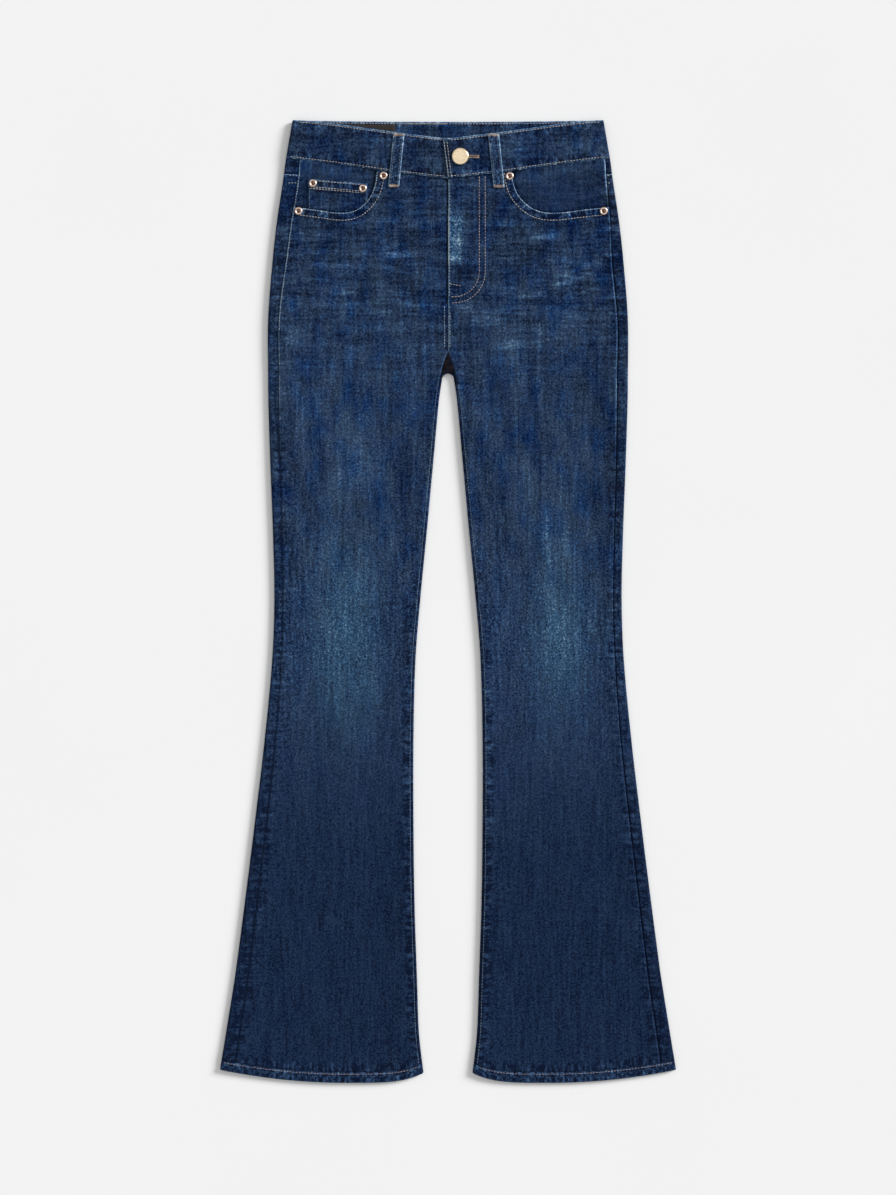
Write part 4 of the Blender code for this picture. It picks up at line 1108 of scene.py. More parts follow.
@dataclass
class FrontPanel:
    """A front leg and hip, from the hem to the waistband and the pocket opening."""

    side: Side
    finish: Material
    step: float = 0.0025
    end_column: float = 0.062
    corner_column: float = 0.050
    width: float = 0.180
    track_end: float = 0.0185

    def top_line(self) -> tuple[Array, int]:
        """Pocket edge from the outseam to the waist, then the waist seam to the centre.

        Returns:
            The points, and the number of the one at the pocket's waist end.
        """
        pocket = LAID.pocket_line(self.side)[::-1]
        count = round(way_along(pocket)[-1] / self.step)
        pick = np.linspace(0, len(pocket) - 1, count + 1)
        pocket = points_at(pocket, np.arange(len(pocket)), pick)
        pocket[-1, 1] = LAID.band_lower(pocket[-1, 0]) - LAID.gap
        x = fine_steps([pocket[-1, 0], self.corner_column, LAID.gap / 2], self.step)[1:]
        waist = np.stack([x, LAID.band_lower(x) - LAID.gap], axis=-1)
        return np.concatenate([pocket, waist]), count

    def moved_in(self, line: Array, corner: int, depth: float) -> Array:
        """The top line moved into the panel, so that rows run along the turned edge."""
        away = np.gradient(line, axis=0)
        away = away / np.linalg.norm(away, axis=1, keepdims=True)
        normal = np.stack([-away[:, 1], away[:, 0]], axis=-1)
        normal[0] = (0.0, -1.0)
        bend = np.array([-1.27, -0.91])
        down = np.array([0.0, -0.6])
        index = np.arange(len(line))
        near = np.clip(1 - (corner - index) * self.step / 0.011, 0.0, 1.0)[:, None]
        offset = mix(normal, bend, near)
        past = (line[corner, 0] - line[:, 0]) / (line[corner, 0] - self.corner_column)
        past = np.clip(past, 0, 1)
        offset = np.where((index > corner)[:, None], mix(bend, down, past[:, None]), offset)
        moved = line + depth * offset
        seam = LAID.outseam(moved[0, 1], self.side) - LAID.gap / 2
        return moved + np.array([seam - moved[0, 0], 0.0]) * bell(index / 6.0)[:, None]

    def grid(self) -> tuple[Array, Array]:
        """Distances from the centre line and heights of the panel's points."""
        top, corner = self.top_line()
        last = len(top) - 1
        outer = [LAID.hem_depth + LAID.gap, LAID.notch_start, LAID.crotch_row_end, 0.8355]
        inner = [LAID.hem_depth + LAID.gap, LAID.notch_start, LAID.crotch_front, 0.832]
        rows = []
        share = np.concatenate([np.linspace(0, 1, corner + 1), np.zeros(last - corner)])
        for k in range(3):
            count = max(2, round((outer[k + 1] - outer[k]) / self.step))
            steps = np.linspace(0, 1, count + 1)[(1 if k else 0) :]
            for rise in steps:
                outer_height = mix(outer[k], outer[k + 1], rise)
                inner_height = mix(inner[k], inner[k + 1], rise)
                seam = LAID.outseam(outer_height, self.side) - LAID.gap / 2
                edge = LAID.front_edge(inner_height)
                pocket_end = edge + (seam - edge) * self.end_column / self.width
                x = mix(seam, pocket_end, share)
                past = (top[corner, 0] - top[corner:, 0]) / (top[corner, 0] - top[-1, 0])
                x[corner:] = mix(pocket_end, edge, past)
                height = mix(inner_height, outer_height, (x - edge) / (seam - edge))
                rows.append(np.stack([x, LAID.bend_hem(x, height)], axis=-1))
        base = rows[-1]
        goal = self.moved_in(top, corner, LAID.pocket_hem + 0.002)
        count = round((goal[0, 1] - base[0, 1]) / self.step)
        for rise in np.linspace(0, 1, count + 1)[1:-1]:
            row = mix(base, goal, rise)
            seam = LAID.outseam(mix(base[0, 1], goal[0, 1], rise), self.side) - LAID.gap / 2
            fade = np.linspace(1, 0, last + 1)
            rows.append(row + np.stack([(seam - row[0, 0]) * fade, 0 * fade], axis=-1))
        for depth in np.linspace(LAID.pocket_hem + 0.002, 0.0, 7):
            rows.append(self.moved_in(top, corner, float(depth)))
        points = np.stack(rows)
        return points[..., 0], points[..., 1]

    def build(self) -> Made:
        """Builds the panel."""
        x, height = self.grid()
        z = LAID.front_face(x, height, self.side)
        above, pocket_along = LAID.above_pocket(x, height, self.side)
        to_waist = LAID.band_lower(x) - height
        hip_wear = 1.05 if self.side is Side.RIGHT else 0.50
        out_wear = 0.12 + hip_wear * smooth((height - 0.66) / 0.10)
        above_crotch = height > LAID.crotch_front
        # On the right front above the crotch, -0.7 draws a painted shadow line beside the fly's
        # edge; the other values are pale rubbed edges.
        centre_wear_and_shade = np.where(above_crotch, 1.35 if self.side is Side.LEFT else -0.7, 0.25)
        leg_pucker = mix(0.8, 0.20, smooth((height - 0.42) / 0.25))
        inner_pucker = np.where(above_crotch, 0.30, leg_pucker)
        seams = [
            (LAID.outseam(height, self.side) - x, height, out_wear, 0.40),
            (x - LAID.front_edge(height), height + 0.3, centre_wear_and_shade, inner_pucker),
            (np.abs(above), pocket_along, 1.60, 1.1),
            # The front's top edge under the waistband gets a painted shadow line (value below 0).
            (to_waist, x, -0.25, 0.35),
            (height - LAID.bend_hem(x, LAID.hem_depth), x, 0.2, 0.8),
        ]
        marks = marks_of(self.side.value * x, height, seams)
        if self.side is Side.LEFT:
            track = smooth((self.track_end - x) / 0.004)
            track = track * smooth((height - 0.896) / 0.010) * smooth((0.966 - height) / 0.022)
            marks["wash"] += 0.37 * track
            marks["grain"] += 0.5 * track
            marks["teal"] += 0.8 * track
            stitched = bell((LAID.inside_fly(x, height) - 0.0030) / 0.0028) * (height < 0.992)
            marks["wash"] -= 0.07 * stitched
        turned = smooth((LAID.pocket_hem - np.abs(above)) / 0.001)
        marks["wash"] -= 0.05 * turned
        marks["grain"] += 0.5 * turned
        return Cloth(
            f"front_{self.side.word}", placed(x, height, z, self.side), marks, self.finish,
            faces_up=self.side is Side.RIGHT, rests_on=(f"back_{self.side.word}",),
        ).build()


@dataclass
class BackPanel:
    """Back leg and seat, wrapped round both folds, or the yoke above it round the outer one."""

    side: Side
    finish: Material
    row_step: float = 0.0042
    under_columns: int = 34
    arc: tuple[float, ...] = (90, 68, 45, 22, 0, -22, -45, -68, -90)
    inner_arc: tuple[float, ...] = (-90, -68, -45, -22, 0, 22, 45, 62, 75)

    def outer_wrap(self, height: Array, top: Array) -> tuple[Array, Array, Array]:
        """Columns from the outseam round the outer fold to the lower face."""
        seam = LAID.outseam(height, self.side) + LAID.gap / 2
        edge = LAID.outer(height)
        low, high = LAID.seat_face(height), LAID.plain_front(edge, height)
        inward = np.stack([-np.ones_like(edge), np.zeros_like(edge)], axis=-1)
        arc = fold_arc(edge, height, inward, low, high, np.array(self.arc, float))
        share = np.linspace(0, 1, 6)[:-1]
        flat_x = mix(seam[:, None], arc[0][:, :1], share)
        flat_height = mix(top[:, None], arc[1][:, :1], share)
        flat_z = LAID.plain_front(flat_x, flat_height)
        flat = (flat_x, flat_height, flat_z)
        return tuple(np.concatenate(pair, axis=1) for pair in zip(flat, arc))

    def leg_rows(self) -> tuple[Array, Array, Array]:
        """x, height and z of all the rows of a back leg and seat."""
        count = round((LAID.notch_start - LAID.hem_depth) / self.row_step)
        leg = np.linspace(LAID.hem_depth + LAID.gap, LAID.notch_start, count)
        turn = np.radians(np.linspace(0, 90, 9))[1:]
        fan_outer = mix(LAID.notch_start, LAID.crotch_row_end, np.linspace(0, 1, 9)[1:])
        fan_seam = mix(LAID.notch_start, LAID.crotch_front, np.linspace(0, 1, 9)[1:])
        seat_count = round((LAID.yoke_side - LAID.crotch_row_end) / self.row_step)
        seat_outer = np.linspace(LAID.crotch_row_end, LAID.yoke_side - LAID.gap, seat_count)[1:]
        outer_height = np.concatenate([leg, fan_outer, seat_outer])
        start = self.outer_wrap(outer_height, outer_height)
        angles = np.concatenate([np.zeros(count), turn])
        inward = np.stack([np.cos(angles), np.sin(angles)], axis=-1)
        inner = LAID.inner(np.append(leg, fan_outer))
        edge_x = np.where(angles > 0, LAID.crotch_radius * inward[:, 0], inner)
        fan_height = LAID.notch_start + LAID.crotch_radius * inward[count:, 1]
        edge_height = np.concatenate([leg, fan_height])
        seam_height = np.concatenate([leg, fan_seam])
        low = LAID.seat_face(edge_height)
        high = LAID.plain_front(LAID.inner(seam_height) + LAID.leg_edge, seam_height)
        arc = fold_arc(edge_x, edge_height, inward, low, high, np.array(self.inner_arc, float))
        seam_x = np.maximum(LAID.inseam(seam_height) - 0.5 * LAID.gap, LAID.gap / 2)
        end = [
            np.concatenate([arc[0], seam_x[:, None]], axis=1),
            np.concatenate([arc[1], seam_height[:, None]], axis=1),
            np.concatenate([arc[2], LAID.plain_front(seam_x, seam_height)[:, None]], axis=1),
        ]
        end[0] = np.maximum(end[0], LAID.gap / 2)
        centre = np.linspace(edge_height[-1], LAID.yoke_centre - LAID.gap, len(seat_outer) + 1)[1:]
        missing = np.full((len(centre), end[0].shape[1] - 1), np.nan)
        tail = (0 * centre + LAID.gap / 2, centre, LAID.seat_face(centre))
        end = [
            np.concatenate([values, np.concatenate([last[:, None], missing], axis=1)])
            for values, last in zip(end, tail)
        ]
        return self.joined(start, end)

    def yoke_rows(self) -> tuple[Array, Array, Array]:
        """x, height and z of the yoke's rows."""
        height = np.linspace(LAID.yoke_side + LAID.gap, LAID.side_waist - LAID.gap, 8)
        share = np.linspace(0, 1, 8)
        seam_top = LAID.band_lower(LAID.outseam(height, self.side)) - LAID.gap
        start = self.outer_wrap(height, mix(height[0], seam_top, share))
        centre = mix(LAID.yoke_centre + LAID.gap, LAID.back_waist_centre - LAID.gap, share)
        end = (0 * centre + LAID.gap / 2, centre, LAID.seat_face(centre))
        return self.joined(start, [values[:, None] for values in end])

    def joined(self, start: Sequence[Array], end: Sequence[Array]) -> tuple[Array, Array, Array]:
        """Both wraps with the columns of the lower face between them."""
        share = np.linspace(0, 1, self.under_columns)[1:-1]
        x = mix(start[0][:, -1:], end[0][:, :1], share)
        height = mix(start[1][:, -1:], end[1][:, :1], share)
        z = LAID.seat_face(height)
        return tuple(np.concatenate(part, axis=1) for part in zip(start, (x, height, z), end))

    def build(self, yoke: bool = False) -> Made:
        """Builds the panel, or the yoke.

        Args:
            yoke: Whether this is the yoke.

        Returns:
            The finished object.
        """
        x, flat_height, z = self.yoke_rows() if yoke else self.leg_rows()
        height = flat_height if yoke else LAID.bend_hem(x, flat_height)
        on_top = z > 0.6 * LAID.plain_front(np.nan_to_num(x), np.nan_to_num(flat_height))
        columns = np.arange(x.shape[1])
        outer_half = columns < 6 + len(self.arc)
        out_away = np.abs(x - LAID.outseam(flat_height, self.side))
        in_away = np.abs(x - LAID.inseam(flat_height))
        far = 0.05 + 0 * x
        seams = [
            # Values below 0 draw painted shadow lines: on the back's strip beside each front
            # panel's outseam and inseam, and on the yoke just above its seam; 1.4 on the back below
            # it is a pale rubbed edge.
            (np.where(on_top & outer_half, out_away, far), height, -0.35, 0.60),
            (np.where(on_top & ~outer_half, in_away, far), height, -0.20, 0.50),
            (np.abs(x) + np.where(height > 0.79, 0.0, 0.05), height, 0.35, 0.35),
            (
                np.where(outer_half, np.abs(height - LAID.yoke_side), far),
                x + 0.6,
                -0.6 if yoke else 1.4,
                0.0 if yoke else 0.9,
            ),
        ]
        marks = marks_of(self.side.value * x, height, seams)
        below_yoke = smooth((LAID.yoke_side - height) / 0.001)
        below_yoke = below_yoke * smooth((height - LAID.yoke_side + 0.0105) / 0.001)
        marks["wash"] += (0.06 * below_yoke - 0.03 * on_top) * outer_half
        # Painted shade: the back's fold in the notch between the legs is darkened where it shows,
        # as it lies in shadow under the crotch.
        notch = smooth((height - LAID.notch_start + 0.004) / 0.006) * (in_away < 0.05) * ~outer_half
        seen = (flat_height < LAID.crotch_front + 0.001) * smooth((z - 0.0016) / 0.0010)
        marks["wash"] -= 0.40 * notch * seen
        name = "yoke" if yoke else "back"
        return Cloth(
            f"{name}_{self.side.word}", placed(x, height, z, self.side),
            {key: np.nan_to_num(value) for key, value in marks.items()}, self.finish,
            faces_up=self.side is Side.LEFT, held="folded",
        ).build()


@dataclass
class FrontPocket:
    """What shows in a front pocket opening: its facing, and on the right the coin pocket."""

    side: Side
    finish: Material
    low: float = 0.948
    step: float = 0.0025
    coin_outer: tuple[float, float] = (0.1538, 0.9944)
    coin_inner: tuple[float, float] = (0.0885, 0.9889)

    def facing(self) -> Made:
        """Builds the facing."""
        inner_end = LAID.pocket_waist_end[self.side] - 0.010
        share = np.linspace(0, 1, 28)[:, None]
        across = np.linspace(0, 1, 46)[None, :]
        top = LAID.band_lower(LAID.outseam(LAID.side_waist, self.side)) - LAID.gap
        seam = LAID.outseam(mix(self.low, top, share), self.side) - LAID.gap / 2
        x = mix(seam, inner_end, across)
        height = mix(self.low, LAID.band_lower(x) - LAID.gap, share)
        above = LAID.above_pocket(x, height, self.side)[0]
        wave = 0.0004 * np.sin(x * 60 + height * 85)
        z = LAID.facing_face(x, height, self.side) + wave * smooth(above / 0.01)
        seams = [
            (seam - x, height, 1.25, 0.5),
            (LAID.band_lower(x) - height, x, 0.2, 0.5),
        ]
        marks = marks_of(self.side.value * x, height, seams)
        marks["wash"] = 0.125 + 0.03 * np.sin(x * 70) + 0.05 * smooth(above / 0.03)
        # Painted shadow: darker in a narrow band along the pocket edge, under which the facing lies
        # in shade.
        marks["wash"] -= 0.14 * bell(above / 0.0030)
        marks["wash"] += 0.12 * bell((LAID.band_lower(x) - height - 0.0075) / 0.0050)
        marks["grain"] *= 0.65
        marks["slub"] *= 0.70
        return Cloth(
            f"pocket_facing_{self.side.word}", placed(x, height, z, self.side), marks,
            self.finish, faces_up=self.side is Side.RIGHT,
        ).build()

    def coin_grid(self, rows: int, columns: int) -> tuple[Array, Array]:
        """Distances and heights over the coin pocket, from its lower edge up."""
        share = np.linspace(0, 1, rows)[:, None]
        across = np.linspace(0, 1, columns)[None, :]
        x = mix(self.coin_outer[0], self.coin_inner[0], across)
        top = mix(self.coin_outer[1], self.coin_inner[1], across)
        low = LAID.pocket_edge(x, self.side) + 0.0005
        return np.broadcast_to(x, (rows, columns)), mix(low, top, share)

    def coin_pocket(self) -> Made:
        """Builds the coin pocket with its turned upper edge."""
        x, height = self.coin_grid(20, 34)
        top = self.coin_top(x)
        z = self.coin_face(x, height) - 0.0003 * bell((self.coin_outer[0] - x) / 0.002)
        seams = [
            (top - height, x, 0.60, 0.9),
            (self.coin_outer[0] - x, height, 0.35, 0.6),
            (x - self.coin_inner[0], height, 0.35, 0.6),
        ]
        marks = marks_of(self.side.value * x, height, seams)
        marks["wash"] = 0.155 + 0.05 * smooth((height - top + 0.010) / 0.001)
        marks["wash"] -= 0.10 * bell((top - height - 0.0118) / 0.0012)
        return Cloth(
            "coin_pocket", placed(x, height, z, self.side), marks, self.finish,
            faces_up=self.side is Side.RIGHT, rests_on=("pocket_facing_right",),
        ).build()

    def coin_face(self, x: Array, height: Array) -> Array:
        """Height of the coin pocket's outer face, with its turned upper edge raised."""
        turned = smooth((height - self.coin_top(x) + 0.0100) / 0.0015)
        flat = LAID.facing_face(x, height, self.side) + LAID.gap + LAID.wall + 0.0002
        return flat + 0.0004 * turned

    def coin_top(self, x: Array) -> Array:
        """Height of the coin pocket's upper edge."""
        share = (x - self.coin_outer[0]) / (self.coin_inner[0] - self.coin_outer[0])
        return mix(self.coin_outer[1], self.coin_inner[1], share)


@dataclass
class Waistband:
    """The waistband: one strip from the right end round the back to the left end over it."""

    finish: Material
    step: float = 0.0030
    rows: int = 16

    def stations(self) -> tuple[Array, Array, Array]:
        """Places across the band from end to end.

        Returns:
            Lower ends and upper ends with a last axis of 3, and the way along the band.
        """
        fold_low, fold_high = LAID.outer(LAID.side_waist), LAID.outer(LAID.length)
        radius = (BAND.face - LAID.back_lift) / 2
        pairs: list[tuple] = []

        def front(side: Side, low_x: float, high_x: float) -> None:
            """Adds a station on one side of the front."""
            pairs.append(tuple(
                (side.value * x, float(edge(abs(x))), float(BAND.outer_face(x, side)))
                for x, edge in ((low_x, LAID.band_lower), (high_x, LAID.band_upper))
            ))

        def side_fold(side: Side, angles: Sequence[float]) -> None:
            """Adds the stations round a side."""
            for degrees in angles:
                turn = math.radians(degrees)
                z = LAID.back_lift + radius + radius * math.sin(turn)
                reach = radius * (math.cos(turn) - 1)
                low = (side.value * (fold_low + reach), LAID.side_waist, z)
                high = (side.value * (fold_high + reach), LAID.length, z)
                pairs.append((low, high))

        front_x = fine_steps([-BAND.underlap_end, 0.0, fold_low - radius], self.step)
        scale = (fold_high - radius) / (fold_low - radius)
        for x in front_x[:-1]:
            front(Side.RIGHT, x, x * (scale if x > 0 else 1.0))
        side_fold(Side.RIGHT, FOLD_ANGLES)
        for share in np.linspace(-1, 1, 80)[1:-1]:
            low_height = mix(LAID.back_waist_centre, LAID.side_waist, abs(share))
            low = (share * (fold_low - radius), low_height, LAID.back_lift)
            dip = BAND.back_dip * (1 - share * share)
            pairs.append((low, (share * (fold_high - radius), LAID.length - dip, LAID.back_lift)))
        side_fold(Side.LEFT, FOLD_ANGLES[::-1])
        for x in fine_steps([fold_low - radius, 0.003], self.step)[1:]:
            front(Side.LEFT, x, x * scale)
        front(Side.LEFT, BAND.overlap_low_end, BAND.overlap_top_end)
        stations = np.array(pairs)
        return stations[:, 0], stations[:, 1], way_along(stations.mean(axis=1))

    def build(self) -> Made:
        """Builds the waistband with its softly rounded, stitched edges."""
        low, high, travelled = self.stations()
        share = np.linspace(0, 1, self.rows)[:, None, None]
        points = mix(low[None], high[None], share)
        tall = np.linalg.norm(high - low, axis=1)[None, :]
        from_low, from_high = share[..., 0] * tall, (1 - share[..., 0]) * tall
        on_top = points[..., 2] > 0.004
        edge = np.minimum(from_low, from_high)
        crown = BAND.crown * smooth(edge / 0.006) - BAND.edge_dip * bell((edge - 0.0022) / 0.0012)
        wave = 0.00025 * np.sin(travelled * 95)[None, :] * smooth(edge / 0.01)
        wave = wave * smooth((travelled[-1] - travelled) / 0.02 - 0.3)[None, :]
        points[..., 2] += np.where(on_top, crown + wave - BAND.edge_dip, 0.0)
        points[..., 1] -= LAID.length / 2
        along = np.broadcast_to(travelled[None, :], edge.shape)
        to_end = travelled[-1] - along
        seams = [
            (from_low, along, 0.85, 0.80),
            (from_high, along + 0.7, 1.10, 0.70),
            (to_end, from_low, 1.50, 0.50),
        ]
        height = points[..., 1] + LAID.length / 2
        marks = marks_of(points[..., 0], height, seams)
        marks["wash"] = 0.175 + 0.020 * np.sin(along * 23) + np.where(points[..., 0] > 0, 0.02, 0.0)
        for row in BAND_PATCHES:
            marks["wash"] += row.strength * row.shape(points[..., 0], height) * on_top
        return Cloth(
            "waistband", points, marks, self.finish, thickness=BAND.wall, faces_up=False,
            held="folded",
        ).build()


@dataclass
class Hem:
    """The turned hem of a leg, roped by its stitching."""

    side: Side
    finish: Material
    wall: float = 0.0020
    sag: float = 0.0006
    columns: int = 84

    def build(self) -> Made:
        """Builds the ring round the leg opening."""
        height = np.linspace(0.0, LAID.hem_depth, 9)
        outer, inner = LAID.outer(height), LAID.inner(height)
        arc = np.array(FOLD_ANGLES, float)
        nothing, full = 0 * height, 0 * height + LAID.leg_edge
        left = np.stack([-np.ones(9), np.zeros(9)], axis=-1)
        outer_arc = fold_arc(outer, height, left, nothing, full, arc)
        inner_arc = fold_arc(inner, height, -left, nothing, full, arc[::-1])
        share = np.linspace(0, 1, self.columns)[1:-1]
        under_x = mix(outer_arc[0][:, -1:], inner_arc[0][:, :1], share)
        over_x = mix(inner_arc[0][:, -1:], outer_arc[0][:, :1], share)
        from_fold = np.minimum(outer[:, None] - over_x, over_x - inner[:, None])
        over_z = LAID.leg_edge - self.sag * smooth(from_fold / LAID.sag_reach)
        x, z = (
            np.concatenate([outer_arc[i], under, inner_arc[i], over, outer_arc[i][:, :1]], axis=1)
            for i, under, over in ((0, under_x, over_x), (2, 0 * under_x, over_z))
        )
        rise = np.broadcast_to(height[:, None], x.shape)
        on_top = z > 0.003
        roping = np.sin((x + rise * 0.9) * 2 * math.pi / 0.0085 + 2.1 * np.sin(x * 47))
        body = smooth(rise / 0.003) * smooth((LAID.hem_depth - rise) / 0.003)
        z = z + np.where(on_top, 0.00028 * roping * body + 0.0003 * body, 0.0)
        seams = [
            (rise, x, 0.25, 0.9),
            (LAID.hem_depth - rise, x + 0.4, 0.15, 0.9),
        ]
        shown = LAID.bend_hem(x, rise)
        marks = marks_of(self.side.value * x, shown, seams)
        marks["wash"] = 0.170 + 0.120 * roping * body + 0.07 * bell((rise - 0.0105) / 0.0010)
        marks["grain"][:] = 1.1
        return Cloth(
            f"hem_{self.side.word}", placed(x, shown, z, self.side), marks, self.finish,
            thickness=self.wall, faces_up=self.side is Side.LEFT, slot=Slot.TURNED, held="folded",
            closed=True,
        ).build()


@dataclass
class BeltLoop:
    """A belt loop over the waistband, on the front or on the back."""

    name: str
    top_x: float
    low_x: float
    front: bool
    finish: Material

    @property
    def side(self) -> Side:
        """The loop's side of the garment."""
        return Side.LEFT if self.top_x >= 0 else Side.RIGHT

    def ends(self) -> tuple[float, float]:
        """Lowest and highest height of the loop."""
        away = abs(self.top_x)
        if self.front:
            low = float(LAID.band_lower((away + abs(self.low_x)) / 2)) - BAND.loop_below
            return low, float(LAID.band_upper(away)) - 0.0010
        share = away / LAID.outer(LAID.length)
        low = mix(LAID.back_waist_centre, LAID.side_waist, share) - BAND.loop_below
        return low, LAID.length - BAND.back_dip - 0.001

    def middle(self, height: Array) -> Array:
        """Distance of the loop's middle from the centre line."""
        low, high = self.ends()
        return mix(abs(self.low_x), abs(self.top_x), (height - low) / (high - low))

    def face(self, x: Array, height: Array) -> Array:
        """Height of the loop's outer face."""
        seam = LAID.band_lower(x)
        on_panel = LAID.front_face(x, height, self.side) + 0.0001
        on_band = BAND.outer_face(x, self.side)
        under = mix(on_panel, on_band, smooth((height - seam + 0.0050) / 0.0040))
        return under + LAID.gap + BAND.loop_wall

    def build(self) -> Made:
        """Builds the loop."""
        low, high = self.ends()
        height = np.linspace(low, high, 34)[:, None]
        across = np.linspace(0.5, -0.5, 9)[None, :]
        x = self.middle(height) + across * BAND.loop_width
        height = np.broadcast_to(height, x.shape)
        if self.front:
            z = self.face(x, height)
            z = z + 0.0003 * bell((np.abs(across) - 0.22) / 0.10)
            z = z - 0.0002 * bell((np.abs(across) - 0.5) / 0.08)
        else:
            z = np.zeros(x.shape)
        edge = (0.5 - np.abs(across)) * BAND.loop_width
        ends = np.minimum(height - low, high - height)
        seams = [
            (edge, height, 1.25, 0.5),
            (ends, x, 0.9, 0.6),
        ]
        marks = marks_of(self.side.value * x, height, seams)
        marks["wash"][:] = 0.22 + 0.07 * bell(across / 0.22)
        marks["slub"][:], marks["grain"][:] = 0.3, 1.5
        up = self.side is Side.RIGHT
        return Cloth(
            self.name, placed(x, height, z, self.side), marks, self.finish,
            thickness=BAND.loop_wall if self.front else LAID.back_lift - LAID.gap,
            faces_up=up if self.front else not up, slot=Slot.TURNED,
        ).build()


@dataclass
class BackPocket:
    """A patch pocket on the seat, under the laid garment."""

    side: Side
    finish: Material
    middle: float = 0.104
    top: float = 0.946
    half: float = 0.060
    low_half: float = 0.051
    depth: float = 0.118
    point: float = 0.016

    def grid(self, rows: int, columns: int, inset: float = 0.0) -> tuple[Array, Array]:
        """Distances and heights over the pocket, moved in from its edges by inset."""
        share = np.linspace(0, 1, rows)[:, None]
        across = np.linspace(1, -1, columns)[None, :]
        half = mix(self.low_half, self.half, share) - inset
        low = self.top - self.depth - self.point * (1 - np.abs(across)) + inset
        x = self.middle + across * half
        return x, mix(low, self.top - inset, share) + 0 * x

    def build(self) -> Made:
        """Builds the pocket."""
        x, height = self.grid(30, 31)
        edge = np.minimum(self.half - np.abs(x - self.middle), self.top - height)
        marks = marks_of(self.side.value * x, height, [(edge, x + height, 0.4, 0.5)])
        return Cloth(
            f"back_pocket_{self.side.word}", placed(x, height, 0 * x, self.side), marks,
            self.finish, thickness=LAID.back_lift - LAID.gap, faces_up=self.side is Side.LEFT,
        ).build()


@dataclass
class WaistLabel:
    """The plain dark label inside the back waistband."""

    finish: Material
    x_ends: tuple[float, float] = (-0.145, -0.058)
    height_ends: tuple[float, float] = (1.0215, 1.0545)
    thickness: float = 0.0009

    def build(self) -> Made:
        """Builds the label."""
        x = np.linspace(*self.x_ends, 40)[None, :]
        height = np.linspace(*self.height_ends, 16)[:, None]
        top = LAID.back_lift + BAND.wall + LAID.gap + self.thickness
        points = placed(x, height, top + 0.0001 * np.sin(x * 300))
        return Cloth(
            "waist_label", points, {}, self.finish, thickness=self.thickness, faces_up=True,
            slot=Slot.LABEL,
        ).build()


@dataclass
class Fly:
    """The shield and the closed zip behind the buttoned fly."""

    shield_ends: tuple[float, float] = (-0.012, 0.046)
    shield_top: float = 0.0036
    zip_ends: tuple[float, float] = (0.004, 0.033)
    zip_top: float = 0.0046
    zip_wall: float = 0.0007
    low: float = 0.866
    zip_low: float = 0.874
    high: float = 0.990
    teeth_middle: float = 0.0185
    tooth: tuple[float, float, float] = (0.0022, 0.0008, 0.0006)
    tooth_pitch: float = 0.0015

    def panel(self, node: str, finish: Material, slot: Slot, **sizes: float) -> Made:
        """Builds one flat piece.

        Args:
            node: The node that it replaces.
            finish: Its material.
            slot: Its slot.
            **sizes: x0, x1, low, top and wall.

        Returns:
            The finished object.
        """
        x = np.linspace(sizes["x0"], sizes["x1"], 24)[None, :]
        height = np.linspace(sizes["low"], self.high, 52)[:, None]
        chain = bell((x - self.teeth_middle) / 0.0022) if slot is Slot.ZIP else 0 * x
        marks = {} if slot is Slot.ZIP else marks_of(x, height, [(FAR_FROM_SEAMS, 0.0, 0.0, 0.0)])
        return Cloth(
            node, placed(x, height, sizes["top"] + 0.0002 * chain), marks, finish,
            thickness=sizes["wall"], faces_up=True, slot=slot,
        ).build()

    def teeth(self, finish: Material) -> Made:
        """Builds the two meshed rows of teeth."""
        bm = bmesh.new()
        heights = np.arange(self.zip_low + 0.002, self.high - 0.002, self.tooth_pitch / 2)
        for k, height in enumerate(heights):
            x = self.teeth_middle + (0.0005 if k % 2 else -0.0005)
            place = Matrix.Translation(placed(x, height, self.zip_top + 0.0002)[()].tolist())
            bmesh.ops.create_cube(bm, size=1.0, matrix=place @ Matrix.Diagonal((*self.tooth, 1.0)))
        obj = made_object("zip_teeth", bm, finish, Slot.ZIP)
        obj.data.shade_flat()
        log.info("%s: %d faces", obj.name, len(obj.data.polygons))
        return obj

    def build(self, wardrobe: Wardrobe) -> None:
        """Builds the shield, the zip's tapes and its teeth."""
        x0, x1 = self.shield_ends
        sizes = {"x0": x0, "x1": x1, "low": self.low, "top": self.shield_top, "wall": LAID.wall}
        self.panel("fly_shield", wardrobe.denim_inside, Slot.DENIM, **sizes)
        x0, x1 = self.zip_ends
        sizes = {"x0": x0, "x1": x1, "low": self.zip_low, "top": self.zip_top}
        sizes["wall"] = self.zip_wall
        self.panel("fly_zip", wardrobe.label, Slot.ZIP, **sizes)
        self.teeth(wardrobe.brass)


